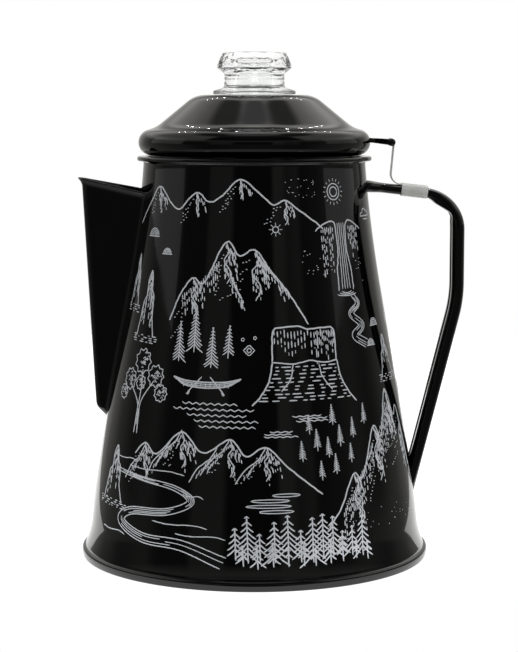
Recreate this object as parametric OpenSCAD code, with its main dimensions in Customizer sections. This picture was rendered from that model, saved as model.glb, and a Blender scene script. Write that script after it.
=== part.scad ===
// Camping coffee percolator in enamelled steel, for about eight cups.
// The pot's axis is Z, with the table at z = 0. The spout points along -X and the handle along +X.
// All lengths are in millimetres.

/* [Pot] */
// Outer radius of the seam bead that the pot stands on
bead_r = 76.5; // [76:0.25:78]
// Outer radius of the wall just above the flare that leads into the bead
foot_r = 72; // [71:0.25:73]
// Outer radius of the wall under the rim
neck_r = 48.2; // [47.8:0.1:48.6]
// Outer radius of the rim
rim_r = 51; // [50.5:0.25:52]
// Height of the rim's top face
rim_z = 174.9; // [174.7:0.1:175]
// Thickness of the enamelled sheet
wall_t = 1.2; // [1:0.1:1.3]
// Radius of each strainer hole behind the spout
strainer_hole_r = 1.6; // [1:0.1:2]

/* [Spout] */
// Distance of the nose from the axis at the top, under the lip
nose_top_x = 75.2; // [74:0.2:76]
// Distance of the nose from the axis at the bottom
nose_low_x = 70.1; // [69:0.2:71]
// Half the width between the centres of the spout's back edges at the mouth
mouth_half_w = 14; // [12:0.5:16]
// Slope of the mouth, rising towards the nose, in degrees
mouth_tilt = 11.5; // [8:0.5:13]
// Thickness of the spout's sheet
spout_t = 1.1; // [1:0.1:1.4]

/* [Handle] */
// Distance of the upright grip's centre line from the axis
grip_x = 88.9; // [87:0.1:91]
// Downward slope of the top run, in degrees
top_slope = 6.5; // [5:0.5:8]
// Slope of the lower run from the vertical, in degrees
low_slope = 14; // [13:0.5:15]
// Half the width of the strap at the grip
grip_half_w = 7.5; // [7:0.25:9]
// Thickness of the strap at the grip, over its rolled edges
grip_t = 5.7; // [5:0.1:6]
// Thickness of the sheet that the strap is rolled from
strap_sheet = 1.1; // [0.9:0.1:1.2]

/* [Lid] */
// Height of the lid's flat top
lid_top_z = 201.3; // [201.2:0.05:201.4]
// Outer radius of the lid's bulge
bulge_r = 50.4; // [50:0.1:50.8]
// Thickness of the lid's sheet
lid_t = 1; // [0.9:0.05:1]
// Outer radius of the collar that drops into the pot
collar_r = 45.1; // [45:0.02:45.12]
// Depth that the collar reaches below the rim's top face
collar_drop = 7.4; // [5:0.2:8]

/* [Hinge] */
// Distance of the hinge pin from the pot's axis
pin_x = 59.5; // [59:0.1:60]
// Height of the hinge pin
pin_z = 180.9; // [180.5:0.1:181.3]
// Radius of the hinge pin
pin_r = 0.85; // [0.8:0.01:0.87]
// Width of the hinge leaf
leaf_w = 7; // [6:0.25:7]
// Thickness of the hinge leaf
leaf_t = 0.5; // [0.4:0.05:0.5]

/* [Glass knob] */
// Widest radius of the knob
knob_r = 16.3; // [16:0.1:16.6]
// Height of the knob's top
knob_top_z = 219.9; // [219:0.1:221]
// Number of flutes pressed round the knob
flute_count = 12; // [8:1:16]

/* [Pump and basket] */
// Outer radius of the pump tube
tube_r = 4.5; // [4.4:0.05:4.55]
// Thickness of the pump tube's wall
tube_t = 0.6; // [0.5:0.05:0.6]
// Height of the pump tube's open top
tube_top_z = 198; // [190:1:199]
// Radius of the bell at the foot of the pump
bell_r = 27; // [25:0.5:30]
// Outer radius of the coffee basket
basket_r = 36; // [34:0.5:37]
// Height of the basket's floor
basket_z = 112; // [110:1:114]
// Height of the basket's rim
basket_rim_z = 158.1; // [156:0.1:158.5]

/* [Hidden] */
$fn = 96;

enamel = "#0b0b0c";
steel = "#b9bcc0";
aluminium = "#c9cccf";
glass = "#dfe8e6";

gap = 0.3;            // room left between pieces that move past each other
contact = 0.05;       // room left between pieces that are fixed or welded to each other
eps = 0.01;

bead_h = 4.4;         // height of the seam bead
flare_z = 16;         // where the wall starts to flare out towards the bead
foot_slope = -0.11;   // change of the wall's radius with height at flare_z
neck_slope = -0.07;   // and under the rim
rim_t = 2;            // thickness of the hemmed rim
under_rim_z = rim_z - rim_t;
plate_z = 3.2;        // recess of the base plate above the table
plate_t = 1.1;

// ---- curves shared by several pieces ----

// Points on an arc in the RZ plane, from angle a0 to a1
function arc(c, r, a0, a1, n) = [for (i = [0:n]) let (a = a0 + (a1 - a0) * i / n) c + r * [cos(a), sin(a)]];

// Points on a quadratic curve from p0 to p2 that leans towards p1
function blend(p0, p1, p2, n) =
    [for (i = [0:n]) let (t = i / n) (1 - t) * (1 - t) * p0 + 2 * t * (1 - t) * p1 + t * t * p2];

function hermite(t, p0, p1, m0, m1) =
    (2 * pow(t, 3) - 3 * pow(t, 2) + 1) * p0 + (pow(t, 3) - 2 * pow(t, 2) + t) * m0
    + (3 * pow(t, 2) - 2 * pow(t, 3)) * p1 + (pow(t, 3) - pow(t, 2)) * m1;

side_h = under_rim_z - flare_z;
flare_bow = (bead_r - 1.45 - foot_r + foot_slope * (flare_z - bead_h)) / pow(flare_z - bead_h, 2);

// Outer radius of the wall at height z: an S-shaped side above a flared foot
function side_r(z) = z > flare_z
    ? hermite((z - flare_z) / side_h, foot_r, neck_r, foot_slope * side_h, neck_slope * side_h)
    : foot_r - foot_slope * (flare_z - z) + flare_bow * pow(flare_z - z, 2);

side_steps = 20;
flare_steps = 6;
side_heights = concat([for (i = [0:flare_steps - 1]) bead_h + (flare_z - bead_h) * i / flare_steps],
                      [for (i = [0:side_steps]) flare_z + side_h * i / side_steps]);
function side(offset) = [for (z = side_heights) [side_r(z) + offset, z]];
function reversed(list) = [for (i = [len(list) - 1:-1:0]) list[i]];

// The pot's outer shape as a solid, grown or shrunk by offset
module pot_envelope(offset) {
    pts = side(offset);
    rotate_extrude() polygon(concat([[0, bead_h]], pts, [[0, pts[len(pts) - 1][1]]]));
}

module ring(r_out, r_in, z0, z1) {
    translate([0, 0, z0]) difference() {
        cylinder(r = r_out, h = z1 - z0);
        translate([0, 0, -1]) cylinder(r = r_in, h = z1 - z0 + 2);
    }
}

// Copies of a child turned evenly round Z
module around(count, start = 0) {
    for (i = [0:count - 1]) rotate([0, 0, start + 360 * i / count]) children();
}

// ---- pot ----

seam_r = side_r(bead_h);      // wall's outer radius where it enters the seam
seam_z = 1.5;                 // how low the wall reaches inside the seam
strainer_low_z = 92;
strainer_pitch = 7.5;
strainer_rows = 8;

module strainer_holes() {
    for (row = [0:strainer_rows - 1]) {
        z = strainer_low_z + strainer_pitch * row;
        count = 1 + floor(row / 2);
        step = asin(strainer_pitch / side_r(z));
        for (i = [0:count - 1])
            rotate([0, 0, 180 + step * (i - (count - 1) / 2)])
                translate([side_r(z) - 6, 0, z]) rotate([0, 90, 0])
                    cylinder(r = strainer_hole_r, h = 12, $fn = 24);
    }
}

module pot_shell() {
    outer = concat([[seam_r, seam_z]], side(0), arc([rim_r - rim_t / 2, rim_z - rim_t / 2], rim_t / 2, -90, 90, 8));
    inner = concat(arc([neck_r - wall_t + 0.7, rim_z - 0.7], 0.7, 90, 180, 3),
                   reversed(side(-wall_t)), [[seam_r - wall_t, seam_z]]);
    color(enamel) difference() {
        rotate_extrude() polygon(concat(outer, inner));
        strainer_holes();
    }
}

// The base and the folded bead that grips the foot of the wall
module base_plate() {
    channel_out = seam_r + contact;
    channel_in = seam_r - wall_t - contact;
    lip = 1.4;
    color(enamel) rotate_extrude() polygon(concat(
        [[0, plate_z], [channel_in - lip - 1, plate_z]],
        blend([channel_in - lip - 0.6, plate_z - 0.1], [channel_in - lip, plate_z - 0.2], [channel_in - lip, 1.2], 3),
        arc([channel_in - lip + 0.8, 0.8], 0.8, 180, 270, 4),
        arc([bead_r - 0.9, 0.9], 0.9, -90, 0, 5),
        arc([bead_r - 0.55, bead_h - 0.55], 0.55, 0, 90, 4),
        [[channel_out, bead_h], [channel_out, seam_z - contact], [channel_in, seam_z - contact],
         [channel_in, plate_z + plate_t], [0, plate_z + plate_t]]));
}

// ---- spout ----

nose_low_z = 67.4;
nose_round = 3.6;             // outer radius of the nose
back_round = 3;               // outer radius of the back edges, inside the pot's outline
lip_h = 3.6;                  // height of the flared lip
lip_out = 1.8;                // how far the lip flares at the nose
mouth_nose_z = 165.3;
spout_back_x = 41;            // where the back edges lie at the mouth

// A flat disc that is one corner of a cross-section, tilted as the mouth is
module corner(x, y, z, r, tilt = 0) {
    translate([-x, y, z]) rotate([0, tilt, 0]) cylinder(r = r, h = eps, center = true, $fn = 32);
}

// Three rounded corners of the spout's section, drop below the mouth and flared out by flare
module mouth_section(inset, drop, flare, rise = 0) {
    nose_x = nose_top_x + flare - nose_round;
    corner(nose_x, 0, mouth_nose_z - drop + rise - nose_round * sin(mouth_tilt), nose_round - inset, mouth_tilt);
    back_z = mouth_nose_z - drop + rise - (nose_x + nose_round - spout_back_x) * tan(mouth_tilt);
    for (s = [-1, 1])
        corner(spout_back_x, s * (mouth_half_w + flare * 0.7), back_z, back_round - inset, mouth_tilt);
}

module spout_blank(inset, rise = 0) {
    hull() {
        translate([-(nose_low_x - 6.2), 0, nose_low_z - 8.6 + inset]) sphere(r = 1.5 - inset, $fn = 24);
        corner(nose_low_x - 3.4, 0, nose_low_z + inset * 0.6, 3.4 - inset);
        for (s = [-1, 1]) corner(nose_low_x - 13, s * 4, nose_low_z + inset * 0.6, back_round - inset);
        mouth_section(inset, lip_h, 0);
    }
    hull() {
        mouth_section(inset, lip_h + eps, 0);
        mouth_section(inset, 0, lip_out, rise);
    }
}

module spout() {
    color(enamel) difference() {
        spout_blank(0);
        spout_blank(spout_t, rise = eps * 3);
        pot_envelope(contact);
    }
}

// ---- handle ----

top_start = [47.5, 162.1];    // the strap's centre line where it leaves the wall
end_z = 26;                   // where the strap's centre line ends, inside the wall's outline
low_vertex_z = 112.6;
bend_r = 16;
low_bend_r = 60;
slot_half_w = 2.4;            // half the gap between the strap's rolled edges
ferrule_half_w = 6;           // half the strap's width where the ferrule holds it
ferrule_strap_t = 4.2;        // and its thickness there

top_dir = [cos(-top_slope), sin(-top_slope)];
top_vertex = [grip_x, top_start[1] - (grip_x - top_start[0]) * tan(top_slope)];
bend_turn = 90 - top_slope;
bend_start = top_vertex - top_dir * bend_r * tan(bend_turn / 2);
bend_c = bend_start + bend_r * [-sin(top_slope), -cos(top_slope)];
low_vertex = [grip_x, low_vertex_z];
low_bend_c = low_vertex + [-low_bend_r, low_bend_r * tan(low_slope / 2)];
low_dir = [-sin(low_slope), -cos(low_slope)];
low_start = low_vertex + low_dir * low_bend_r * tan(low_slope / 2);
low_end = low_vertex + low_dir * (low_vertex_z - end_z) / cos(low_slope);

// A point on the top run at distance x from the axis
function on_top(x) = top_start + top_dir * (x - top_start[0]) / cos(top_slope);
function smooth(t) = t * t * (3 - 2 * t);

// Distance from the axis, half width and thickness of the strap where it spreads towards its weld
spread = [[42, 8.4, 4.8], [50, 7.6, 4.6], [54, 6.6, 4.4], [60, ferrule_half_w, ferrule_strap_t]];
low_end_half_w = 6.9;
bend_steps = 12;
low_bend_steps = 4;

// Stations of the strap: place, direction of its outer face, half width and thickness
strap = concat(
    [for (s = spread) [on_top(s[0]), bend_turn, s[1], s[2]]],
    [for (i = [0:bend_steps]) let (t = i / bend_steps, a = bend_turn * (1 - t))
        [bend_c + bend_r * [cos(a), sin(a)], a, ferrule_half_w + (grip_half_w - ferrule_half_w) * smooth(t),
         ferrule_strap_t + (grip_t - ferrule_strap_t) * smooth(t)]],
    [for (i = [0:low_bend_steps]) let (a = -low_slope * i / low_bend_steps)
        [low_bend_c + low_bend_r * [cos(a), sin(a)], a, grip_half_w, grip_t]],
    [[(low_start + low_end) / 2, -low_slope, grip_half_w, grip_t], [low_end, -low_slope, low_end_half_w, grip_t]]);

// Half of the rolled strip's section: crown, round edge and lip outside, then the same way back inside
outer_steps = 7;
inner_steps = 5;
crown_drop = 0.04;            // how far the crown falls between its middle and its shoulder
function half_section(w, t) = let (c = [w - t / 2, 0], r = t / 2) concat(
    [[0, r], [w * 0.4, r - crown_drop]], arc(c, r, 76, -90, outer_steps),
    [[slot_half_w, -r], [slot_half_w, -r + strap_sheet]],
    arc(c, r - strap_sheet, -90, 76, inner_steps),
    [[w * 0.4, r - strap_sheet - crown_drop], [0, r - strap_sheet]]);
function section(w, t) = let (h = half_section(w, t), n = len(h))
    concat(h, [for (i = [n - 2:-1:1]) [-h[i][0], h[i][1]]]);

module strap_sweep() {
    rings = [for (s = strap) [for (p = section(s[2], s[3]))
        [s[0][0] + p[1] * cos(s[1]), p[0], s[0][1] + p[1] * sin(s[1])]]];
    n = len(rings[0]);
    last = len(rings) - 1;
    polyhedron(
        points = [for (r = rings) each r],
        faces = concat(
            [for (k = [0:last - 1], i = [0:n - 1]) let (j = (i + 1) % n)
                each [[k * n + i, k * n + j, (k + 1) * n + j], [k * n + i, (k + 1) * n + j, (k + 1) * n + i]]],
            end_cap(0, n, true), end_cap(last * n, n, false)),
        convexity = 6);
}

// A cap over the C-shaped end: each outer point pairs with the inner point across the sheet
function end_cap(first, n, flip) = let (
        m = n / 2,
        lip = outer_steps + 3,
        right = [for (i = [0:m]) i], left = [for (i = [0:m]) (n - i) % n])
    concat(cap_half(first, right, lip, flip), cap_half(first, left, lip, !flip));

// Triangles between the outer run (indices 0..k) and the inner run back to the middle
function cap_half(first, idx, k, flip) = let (last = len(idx) - 1, inner_n = last - k - 1)
    [for (i = [0:k - 1]) let (a = idx[i], b = idx[i + 1],
            c = idx[last - min(inner_n, round(i * inner_n / k))])
        flip ? [first + a, first + c, first + b] : [first + a, first + b, first + c],
     for (i = [0:k - 1]) let (c = last - min(inner_n, round(i * inner_n / k)),
            d = last - min(inner_n, round((i + 1) * inner_n / k)))
        if (c != d) let (b = idx[i + 1])
        flip ? [first + b, first + idx[c], first + idx[d]] : [first + b, first + idx[d], first + idx[c]],
    ];

flange_w = 18;
flange_h = 9;
flange_mid_z = 162;

module handle_strap() {
    color(enamel) difference() {
        union() {
            strap_sweep();
            // flange at the strap's upper end, bent flat against the wall
            intersection() {
                pot_envelope(strap_sheet);
                translate([neck_r, 0, flange_mid_z]) cube([flange_w, flange_w, flange_h], center = true);
            }
        }
        pot_envelope(contact);
    }
}

// A flat-sided ring's outline: two circles joined by a square
module stadium(half_w, r) {
    for (s = [-1, 1]) translate([s * (half_w - r), 0]) circle(r = r, $fn = 48);
    square([2 * (half_w - r), 2 * r], center = true);
}

ferrule_x = [63.8, 75.2];     // where the ferrule starts and ends along X
ferrule_wall = 0.35;
ferrule_room = (ferrule_strap_t + leaf_t) / 2 + contact;   // half the height inside the ferrule

module handle_ferrule() {
    mid = on_top((ferrule_x[0] + ferrule_x[1]) / 2);
    len_x = (ferrule_x[1] - ferrule_x[0]) / cos(top_slope);
    color(steel) translate([mid[0], 0, mid[1]]) rotate([0, top_slope, 0]) translate([0, 0, leaf_t / 2])
        rotate([90, 0, 90]) linear_extrude(height = len_x, center = true) difference() {
            stadium(ferrule_half_w + 0.45 + ferrule_wall, ferrule_room + ferrule_wall);
            stadium(ferrule_half_w + 0.45, ferrule_room);
        }
}

// ---- lid hinge ----

leaf_end_x = 74.6;
leaf_bend_r = 4.5;
leaf_vertex_x = 58.8;
leaf_bore_r = pin_r + 0.07;
leaf_knuckle_r = leaf_bore_r + leaf_t;
leaf_lift = ferrule_strap_t / 2 + contact / 2 + leaf_t / 2;   // leaf's middle above the strap's centre line
top_normal = [sin(top_slope), cos(top_slope)];
function on_leaf(x) = on_top(x) + top_normal * leaf_lift;

leaf_vertex = on_leaf(leaf_vertex_x);
leaf_roll_r = leaf_knuckle_r - leaf_t / 2;
pin = [pin_x, pin_z];
// direction of the upright run: from the vertex, tangent to the right of the knuckle
to_pin = pin - leaf_vertex;
leaf_rise = atan2(to_pin[1], to_pin[0]) - asin(leaf_roll_r / norm(to_pin));
leaf_turn = 180 - top_slope - leaf_rise;
leaf_back = leaf_bend_r * tan(leaf_turn / 2);
leaf_bend_c = on_leaf(leaf_vertex_x + leaf_back * cos(top_slope)) + leaf_bend_r * top_normal;

module hinge_leaf() {
    knuckle_side = pin + leaf_roll_r * [cos(leaf_rise - 90), sin(leaf_rise - 90)];
    // each entry: point on the middle line and the direction across the strip
    run = concat(
        [[on_leaf(leaf_end_x), 90 - top_slope]],
        [for (i = [0:10]) let (a = -90 - top_slope - leaf_turn * i / 10)
            [leaf_bend_c + leaf_bend_r * [cos(a), sin(a)], a + 180]],
        [[knuckle_side, leaf_rise - 90]]);
    function edge(s) = [for (p = run) p[0] + s * leaf_t / 2 * [cos(p[1]), sin(p[1])]];
    color(steel) rotate([90, 0, 0]) linear_extrude(height = leaf_w, center = true) difference() {
        union() {
            polygon(concat(edge(1), reversed(edge(-1))));
            translate(pin) circle(r = leaf_knuckle_r, $fn = 48);
        }
        translate(pin) circle(r = leaf_bore_r, $fn = 48);
    }
}

ear_t = 1.2;
ear_r = 1.65;
tab_t = 2;
tab_half_w = leaf_w / 2 + gap + ear_t;
tab_root = [46, 182.2];

module tab_outline(reach) {
    d = (pin - tab_root) / norm(pin - tab_root);
    n = [-d[1], d[0]];
    end = pin - d * reach;
    polygon([tab_root + n * tab_t / 2, end + n * tab_t / 2, end - n * tab_t / 2, tab_root - n * tab_t / 2]);
}

// The tab welded to the back of the lid, with two ears that carry the pin
module lid_hinge_tab() {
    color(enamel) difference() {
        rotate([90, 0, 0]) difference() {
            union() {
                linear_extrude(height = 2 * tab_half_w, center = true) tab_outline(2.1);
                for (s = [-1, 1]) translate([0, 0, s * (tab_half_w - ear_t / 2)])
                    linear_extrude(height = ear_t, center = true) {
                        tab_outline(0);
                        translate(pin) circle(r = ear_r, $fn = 48);
                    }
            }
            translate(pin) cylinder(r = pin_r + 0.02, h = 30, center = true, $fn = 48);
        }
        lid_envelope(contact);
    }
}

module hinge_pin() {
    head_t = 0.5;
    color(steel) translate([pin_x, 0, pin_z]) rotate([90, 0, 0]) {
        cylinder(r = pin_r, h = 2 * (tab_half_w + contact) + eps, center = true, $fn = 48);
        for (s = [-1, 1]) translate([0, 0, s * (tab_half_w + contact + head_t / 2)])
            cylinder(r = pin_r + 0.4, h = head_t, center = true, $fn = 48);
    }
}

// ---- lid ----

bulge_c = [bulge_r - 5.6, rim_z + 6];   // centre of the bulge's round section
bulge_round = 5.6;
shoulder_round = 12;
lid_slope = 39.3;                       // slope of the lid's conical side, in degrees
shoulder_c = [21.4, lid_top_z - shoulder_round];
knob_hole_r = 11.3;

// The lid's outline from the knob's hole to the tucked-under edge, moved inwards by inset
function lid_line(inset) = let (
        n = [sin(lid_slope), cos(lid_slope)],
        cone_start = shoulder_c + shoulder_round * n,
        cone_end = cone_start + 17 * [cos(lid_slope), -sin(lid_slope)])
    concat(arc(shoulder_c, shoulder_round - inset, 90, 90 - lid_slope, 7),
           blend(cone_end - inset * n, [bulge_c[0] - 1.3, bulge_c[1] + bulge_round + 0.25 - inset],
                 bulge_c + (bulge_round - inset) * [0, 1], 5),
           arc(bulge_c, bulge_round - inset, 82, -86, 16));

module lid_envelope(offset) {
    pts = lid_line(-offset);
    rotate_extrude() polygon(concat([[0, lid_top_z + offset]], pts, [[0, pts[len(pts) - 1][1]]]));
}

lug_count = 3;
lug_half_angle = 20;
knob_neck_r = 10.9;
lug_r = 13.3;

// A ring sector between two radii, as a 2D outline
module sector(r_in, r_out, half_angle) {
    polygon(concat(arc([0, 0], r_out, -half_angle, half_angle, 8), arc([0, 0], r_in, half_angle, -half_angle, 8)));
}

module lid_shell() {
    outer = lid_line(0);
    inner = reversed(lid_line(lid_t));
    color(enamel) difference() {
        rotate_extrude() polygon(concat([[knob_hole_r, lid_top_z]], outer, inner, [[knob_hole_r, lid_top_z - lid_t]]));
        // notches that let the knob's lugs through
        translate([0, 0, lid_top_z - lid_t - 1]) linear_extrude(height = lid_t + 2)
            around(lug_count, 60) sector(knob_hole_r - 1, lug_r + 0.4, lug_half_angle + 3);
    }
}

module lid_collar() {
    color(enamel) ring(collar_r, collar_r - lid_t, rim_z - collar_drop, rim_z + 3.6);
}

// ---- glass knob ----

flange_r = 18;
flange_z = lid_top_z + gap;
neck_r_out = 12.9;
widest_z = 213.5;
knob_shoulder_r = 14.1;
cavity_r = 8.6;
flute_cut_r = 12;             // radius of the cutter that makes each flute
flute_depth = 1.3;

module glass_knob() {
    neck_foot_z = lid_top_z - 4.8;
    lean = atan((knob_r - knob_shoulder_r) / (knob_top_z - 1 - widest_z));
    outer = concat(
        [[knob_neck_r, neck_foot_z], [knob_neck_r, flange_z], [flange_r - 0.5, flange_z]],
        arc([flange_r - 0.5, flange_z + 0.5], 0.5, -60, 60, 3),
        [[neck_r_out + 0.6, flange_z + 2.6]],
        [[neck_r_out, flange_z + 3.2], [neck_r_out, 208.2], [neck_r_out + 0.25, 208.5], [neck_r_out, 208.8],
         [neck_r_out, 210.1], [neck_r_out + 0.5, 210.7], [knob_r - 0.35, widest_z - 0.5]],
        arc([knob_r - 0.7, widest_z], 0.7, -45, 15, 3),
        blend([knob_shoulder_r + 0.15, knob_top_z - 1.5], [knob_shoulder_r - 0.1, knob_top_z - 0.5],
              [knob_shoulder_r - 1.6, knob_top_z - 0.3], 4),
        [[6, knob_top_z], [0, knob_top_z]]);
    cavity = concat([[0, knob_top_z - 4]], arc([cavity_r - 3, knob_top_z - 7.4], 3, 80, 0, 5), [[cavity_r, neck_foot_z]]);
    color(glass) difference() {
        union() {
            rotate_extrude() polygon(concat(outer, cavity));
            translate([0, 0, neck_foot_z + 0.4]) linear_extrude(height = lid_top_z - lid_t - gap - neck_foot_z - 0.4)
                around(lug_count) sector(knob_neck_r - 0.5, lug_r, lug_half_angle);
        }
        around(flute_count) translate([knob_r - flute_depth + flute_cut_r / cos(lean), 0, widest_z])
            rotate([0, -lean, 0]) cylinder(r = flute_cut_r, h = 24, center = true, $fn = 96);
    }
}

// ---- pump ----

bell_t = 0.8;
bell_foot_z = plate_z + plate_t + gap;
bell_crown_z = 20.4;
bell_neck_r = 11;             // radius of the bell's flat crown
tube_foot_z = 13;
washer_t = 0.8;
washer_r = 9.8;
inlet_count = 4;

module pump_tube() {
    color(aluminium) ring(tube_r, tube_r - tube_t, tube_foot_z, tube_top_z);
}

module pump_bell() {
    function bell(inset) = concat(
        [[bell_neck_r - inset * 0.4, bell_crown_z - inset]],
        blend([bell_neck_r + 2, bell_crown_z - inset], [bell_r - 5 - inset, bell_crown_z - 1 - inset],
              [bell_r - 1.6 - inset, bell_foot_z + 3.5], 7));
    color(aluminium) difference() {
        rotate_extrude() polygon(concat(
            [[tube_r + contact, bell_crown_z + 5], [tube_r + bell_t, bell_crown_z + 5], [tube_r + bell_t, bell_crown_z]],
            bell(0), [[bell_r, bell_foot_z], [bell_r - bell_t, bell_foot_z]], reversed(bell(bell_t)),
            [[tube_r + contact, bell_crown_z - bell_t]]));
        // notches that let water under the bell's edge
        around(6, 30) translate([bell_r - 3, 0, bell_foot_z]) rotate([0, 90, 0]) cylinder(r = 2.2, h = 6, $fn = 32);
        // inlets in the crown, which the washer closes
        around(inlet_count) translate([7.6, 0, bell_crown_z - 3]) cylinder(r = 1.2, h = 6, $fn = 24);
    }
}

module valve_stop() {
    color(aluminium) ring(tube_r + 1.7, tube_r + contact, tube_foot_z, tube_foot_z + 1.2);
}

module valve_washer() {
    z = tube_foot_z + 1.2 + gap;
    color(steel) ring(washer_r, tube_r + gap, z, z + washer_t);
}

module stem_collar() {
    color(aluminium) ring(tube_r + 1.9, tube_r + contact, basket_z - 3.9, basket_z - 1.4);
}

// ---- basket ----

basket_t = 0.7;
guide_t = 0.7;
guide_r = tube_r + gap + guide_t;
plate_gap = basket_rim_z + 1.2 + gap;

// Rings of holes: each entry is the ring's radius and its number of holes
module hole_rings(rings, hole_r, z) {
    for (i = [0:len(rings) - 1])
        around(rings[i][1], i * 7) translate([rings[i][0], 0, z]) cylinder(r = hole_r, h = 4, center = true, $fn = 16);
}

module basket_cup() {
    corner_r = 5;
    rolled = 0.6;
    inner_c = [basket_r - corner_r, basket_z + corner_r];
    color(aluminium) difference() {
        rotate_extrude() polygon(concat(
            [[guide_r + contact, basket_z]],
            arc(inner_c, corner_r, -90, 0, 5),
            [[basket_r, basket_rim_z]],
            arc([basket_r + rolled, basket_rim_z + rolled], rolled, -90, 90, 5),
            [[basket_r - basket_t + 0.4, basket_rim_z + 2 * rolled], [basket_r - basket_t, basket_rim_z + 2 * rolled - 0.4]],
            arc(inner_c, corner_r - basket_t, 0, -90, 5),
            [[guide_r + contact, basket_z + basket_t]]));
        hole_rings([[11, 10], [16, 14], [21, 18], [26, 24]], 0.9, basket_z);
    }
}

// The tube in the middle of the basket that slides on the pump tube
module basket_guide() {
    color(aluminium) union() {
        ring(guide_r, tube_r + gap, basket_z - 1.1, basket_rim_z - 0.8);
        ring(guide_r + 2, guide_r - 0.1, basket_z - 1.1, basket_z - contact);
    }
}

module spreader_plate() {
    t = 0.8;
    hub_r = guide_r + 0.9;
    lip_r = basket_r - basket_t - gap;
    color(aluminium) difference() {
        union() {
            ring(basket_r + 1.6, guide_r + gap, plate_gap, plate_gap + t);
            ring(lip_r, lip_r - 0.7, plate_gap - 3.5, plate_gap + eps);
            ring(hub_r, guide_r + gap, plate_gap, plate_gap + 3);
        }
        hole_rings([[12, 10], [18, 16], [24, 20], [30, 26]], 1, plate_gap);
    }
}

pot_shell();
base_plate();
spout();
handle_strap();
handle_ferrule();
hinge_leaf();
lid_shell();
lid_collar();
lid_hinge_tab();
hinge_pin();
glass_knob();
pump_tube();
pump_bell();
valve_washer();
valve_stop();
stem_collar();
basket_cup();
basket_guide();
spreader_plate();
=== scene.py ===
import math
import random

import bmesh
import bpy
import numpy as np
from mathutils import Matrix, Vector


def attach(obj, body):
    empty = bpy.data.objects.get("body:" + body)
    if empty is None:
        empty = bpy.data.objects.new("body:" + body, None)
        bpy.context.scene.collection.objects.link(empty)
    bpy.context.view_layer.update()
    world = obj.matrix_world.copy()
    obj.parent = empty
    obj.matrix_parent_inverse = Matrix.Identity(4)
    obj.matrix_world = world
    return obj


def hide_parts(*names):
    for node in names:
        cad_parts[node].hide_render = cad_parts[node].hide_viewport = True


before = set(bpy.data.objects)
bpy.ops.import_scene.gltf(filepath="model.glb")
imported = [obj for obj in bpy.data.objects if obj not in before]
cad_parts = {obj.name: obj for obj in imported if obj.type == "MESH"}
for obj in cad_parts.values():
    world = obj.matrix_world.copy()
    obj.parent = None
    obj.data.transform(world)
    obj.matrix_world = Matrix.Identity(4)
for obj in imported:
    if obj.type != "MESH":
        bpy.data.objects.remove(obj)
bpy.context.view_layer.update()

# Looks for an enamelled camping percolator. Outlines are in millimetres, as on a maker's drawing,
# and become metres where a mesh is made. The pot's axis is Z, the spout points along -X.
MM = 0.001

# ---------------------------------------------------------------- sizes shared with the model

BEAD_R = 76.5
BEAD_H = 4.4
FOOT_R = 72.0
NECK_R = 48.2
FLARE_Z = 16.0
RIM_R = 51.0
RIM_Z = 174.9
RIM_T = 2.0
UNDER_RIM_Z = RIM_Z - RIM_T
WALL_T = 1.2
FOOT_SLOPE = -0.11
NECK_SLOPE = -0.07
SIDE_H = UNDER_RIM_Z - FLARE_Z
FLARE_BOW = (BEAD_R - 1.45 - FOOT_R + FOOT_SLOPE * (FLARE_Z - BEAD_H)) / (FLARE_Z - BEAD_H) ** 2


def side_r(z):
    """Outer radius of the pot's wall at height z: an S-shaped side above a flared foot."""
    if z <= FLARE_Z:
        d = FLARE_Z - z
        return FOOT_R - FOOT_SLOPE * d + FLARE_BOW * d * d
    t = min((z - FLARE_Z) / SIDE_H, 1.0)
    return ((2 * t ** 3 - 3 * t ** 2 + 1) * FOOT_R + (t ** 3 - 2 * t ** 2 + t) * FOOT_SLOPE * SIDE_H
            + (3 * t ** 2 - 2 * t ** 3) * NECK_R + (t ** 3 - t ** 2) * NECK_SLOPE * SIDE_H)


# ---------------------------------------------------------------- outlines

def arc(cx, cy, r, start, end, steps):
    """Points on an arc, with its angles in degrees."""
    angles = [math.radians(start + (end - start) * i / steps) for i in range(steps + 1)]
    return [(cx + r * math.cos(a), cy + r * math.sin(a)) for a in angles]


def bow(p0, p1, p2, steps):
    """Points on a quadratic curve from p0 to p2 that leans towards p1."""
    ts = [i / steps for i in range(steps + 1)]
    return [tuple((1 - t) ** 2 * a + 2 * t * (1 - t) * b + t * t * c for a, b, c in zip(p0, p1, p2))
            for t in ts]


def rounded(corners, steps=4, closed=True):
    """An outline through corners (x, y, fillet radius), with each corner rounded."""
    out = []
    count = len(corners)
    for i, (x, y, r) in enumerate(corners):
        here = Vector((x, y))
        if r <= 0 or (not closed and i in (0, count - 1)):
            out.append((x, y))
            continue
        before = Vector(corners[i - 1][:2]) - here
        after = Vector(corners[(i + 1) % count][:2]) - here
        half = before.angle(after) / 2
        reach = min(r / math.tan(half), before.length * 0.49, after.length * 0.49)
        out += bow(here + before.normalized() * reach, here, here + after.normalized() * reach, steps)
    return out


def eased(t):
    """Runs from 0 to 1 as t does, with a soft start and end."""
    t = min(max(t, 0.0), 1.0)
    return t * t * (3 - 2 * t)


def resampled(points, spacing):
    """The open line through points, cut into even steps of about spacing."""
    p = np.array(points, float)
    gaps = np.linalg.norm(np.diff(p, axis=0), axis=1)
    at = np.concatenate([[0], np.cumsum(gaps)])
    count = max(2, int(round(at[-1] / spacing)) + 1)
    want = np.linspace(0, at[-1], count)
    return np.stack([np.interp(want, at, p[:, k]) for k in range(p.shape[1])], axis=1)


def respaced(p, count):
    """The rows of p, drawn out or thinned evenly to count rows."""
    at = np.linspace(0, 1, len(p))
    return np.stack([np.interp(np.linspace(0, 1, count), at, p[:, k]) for k in range(p.shape[1])], axis=1)


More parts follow.
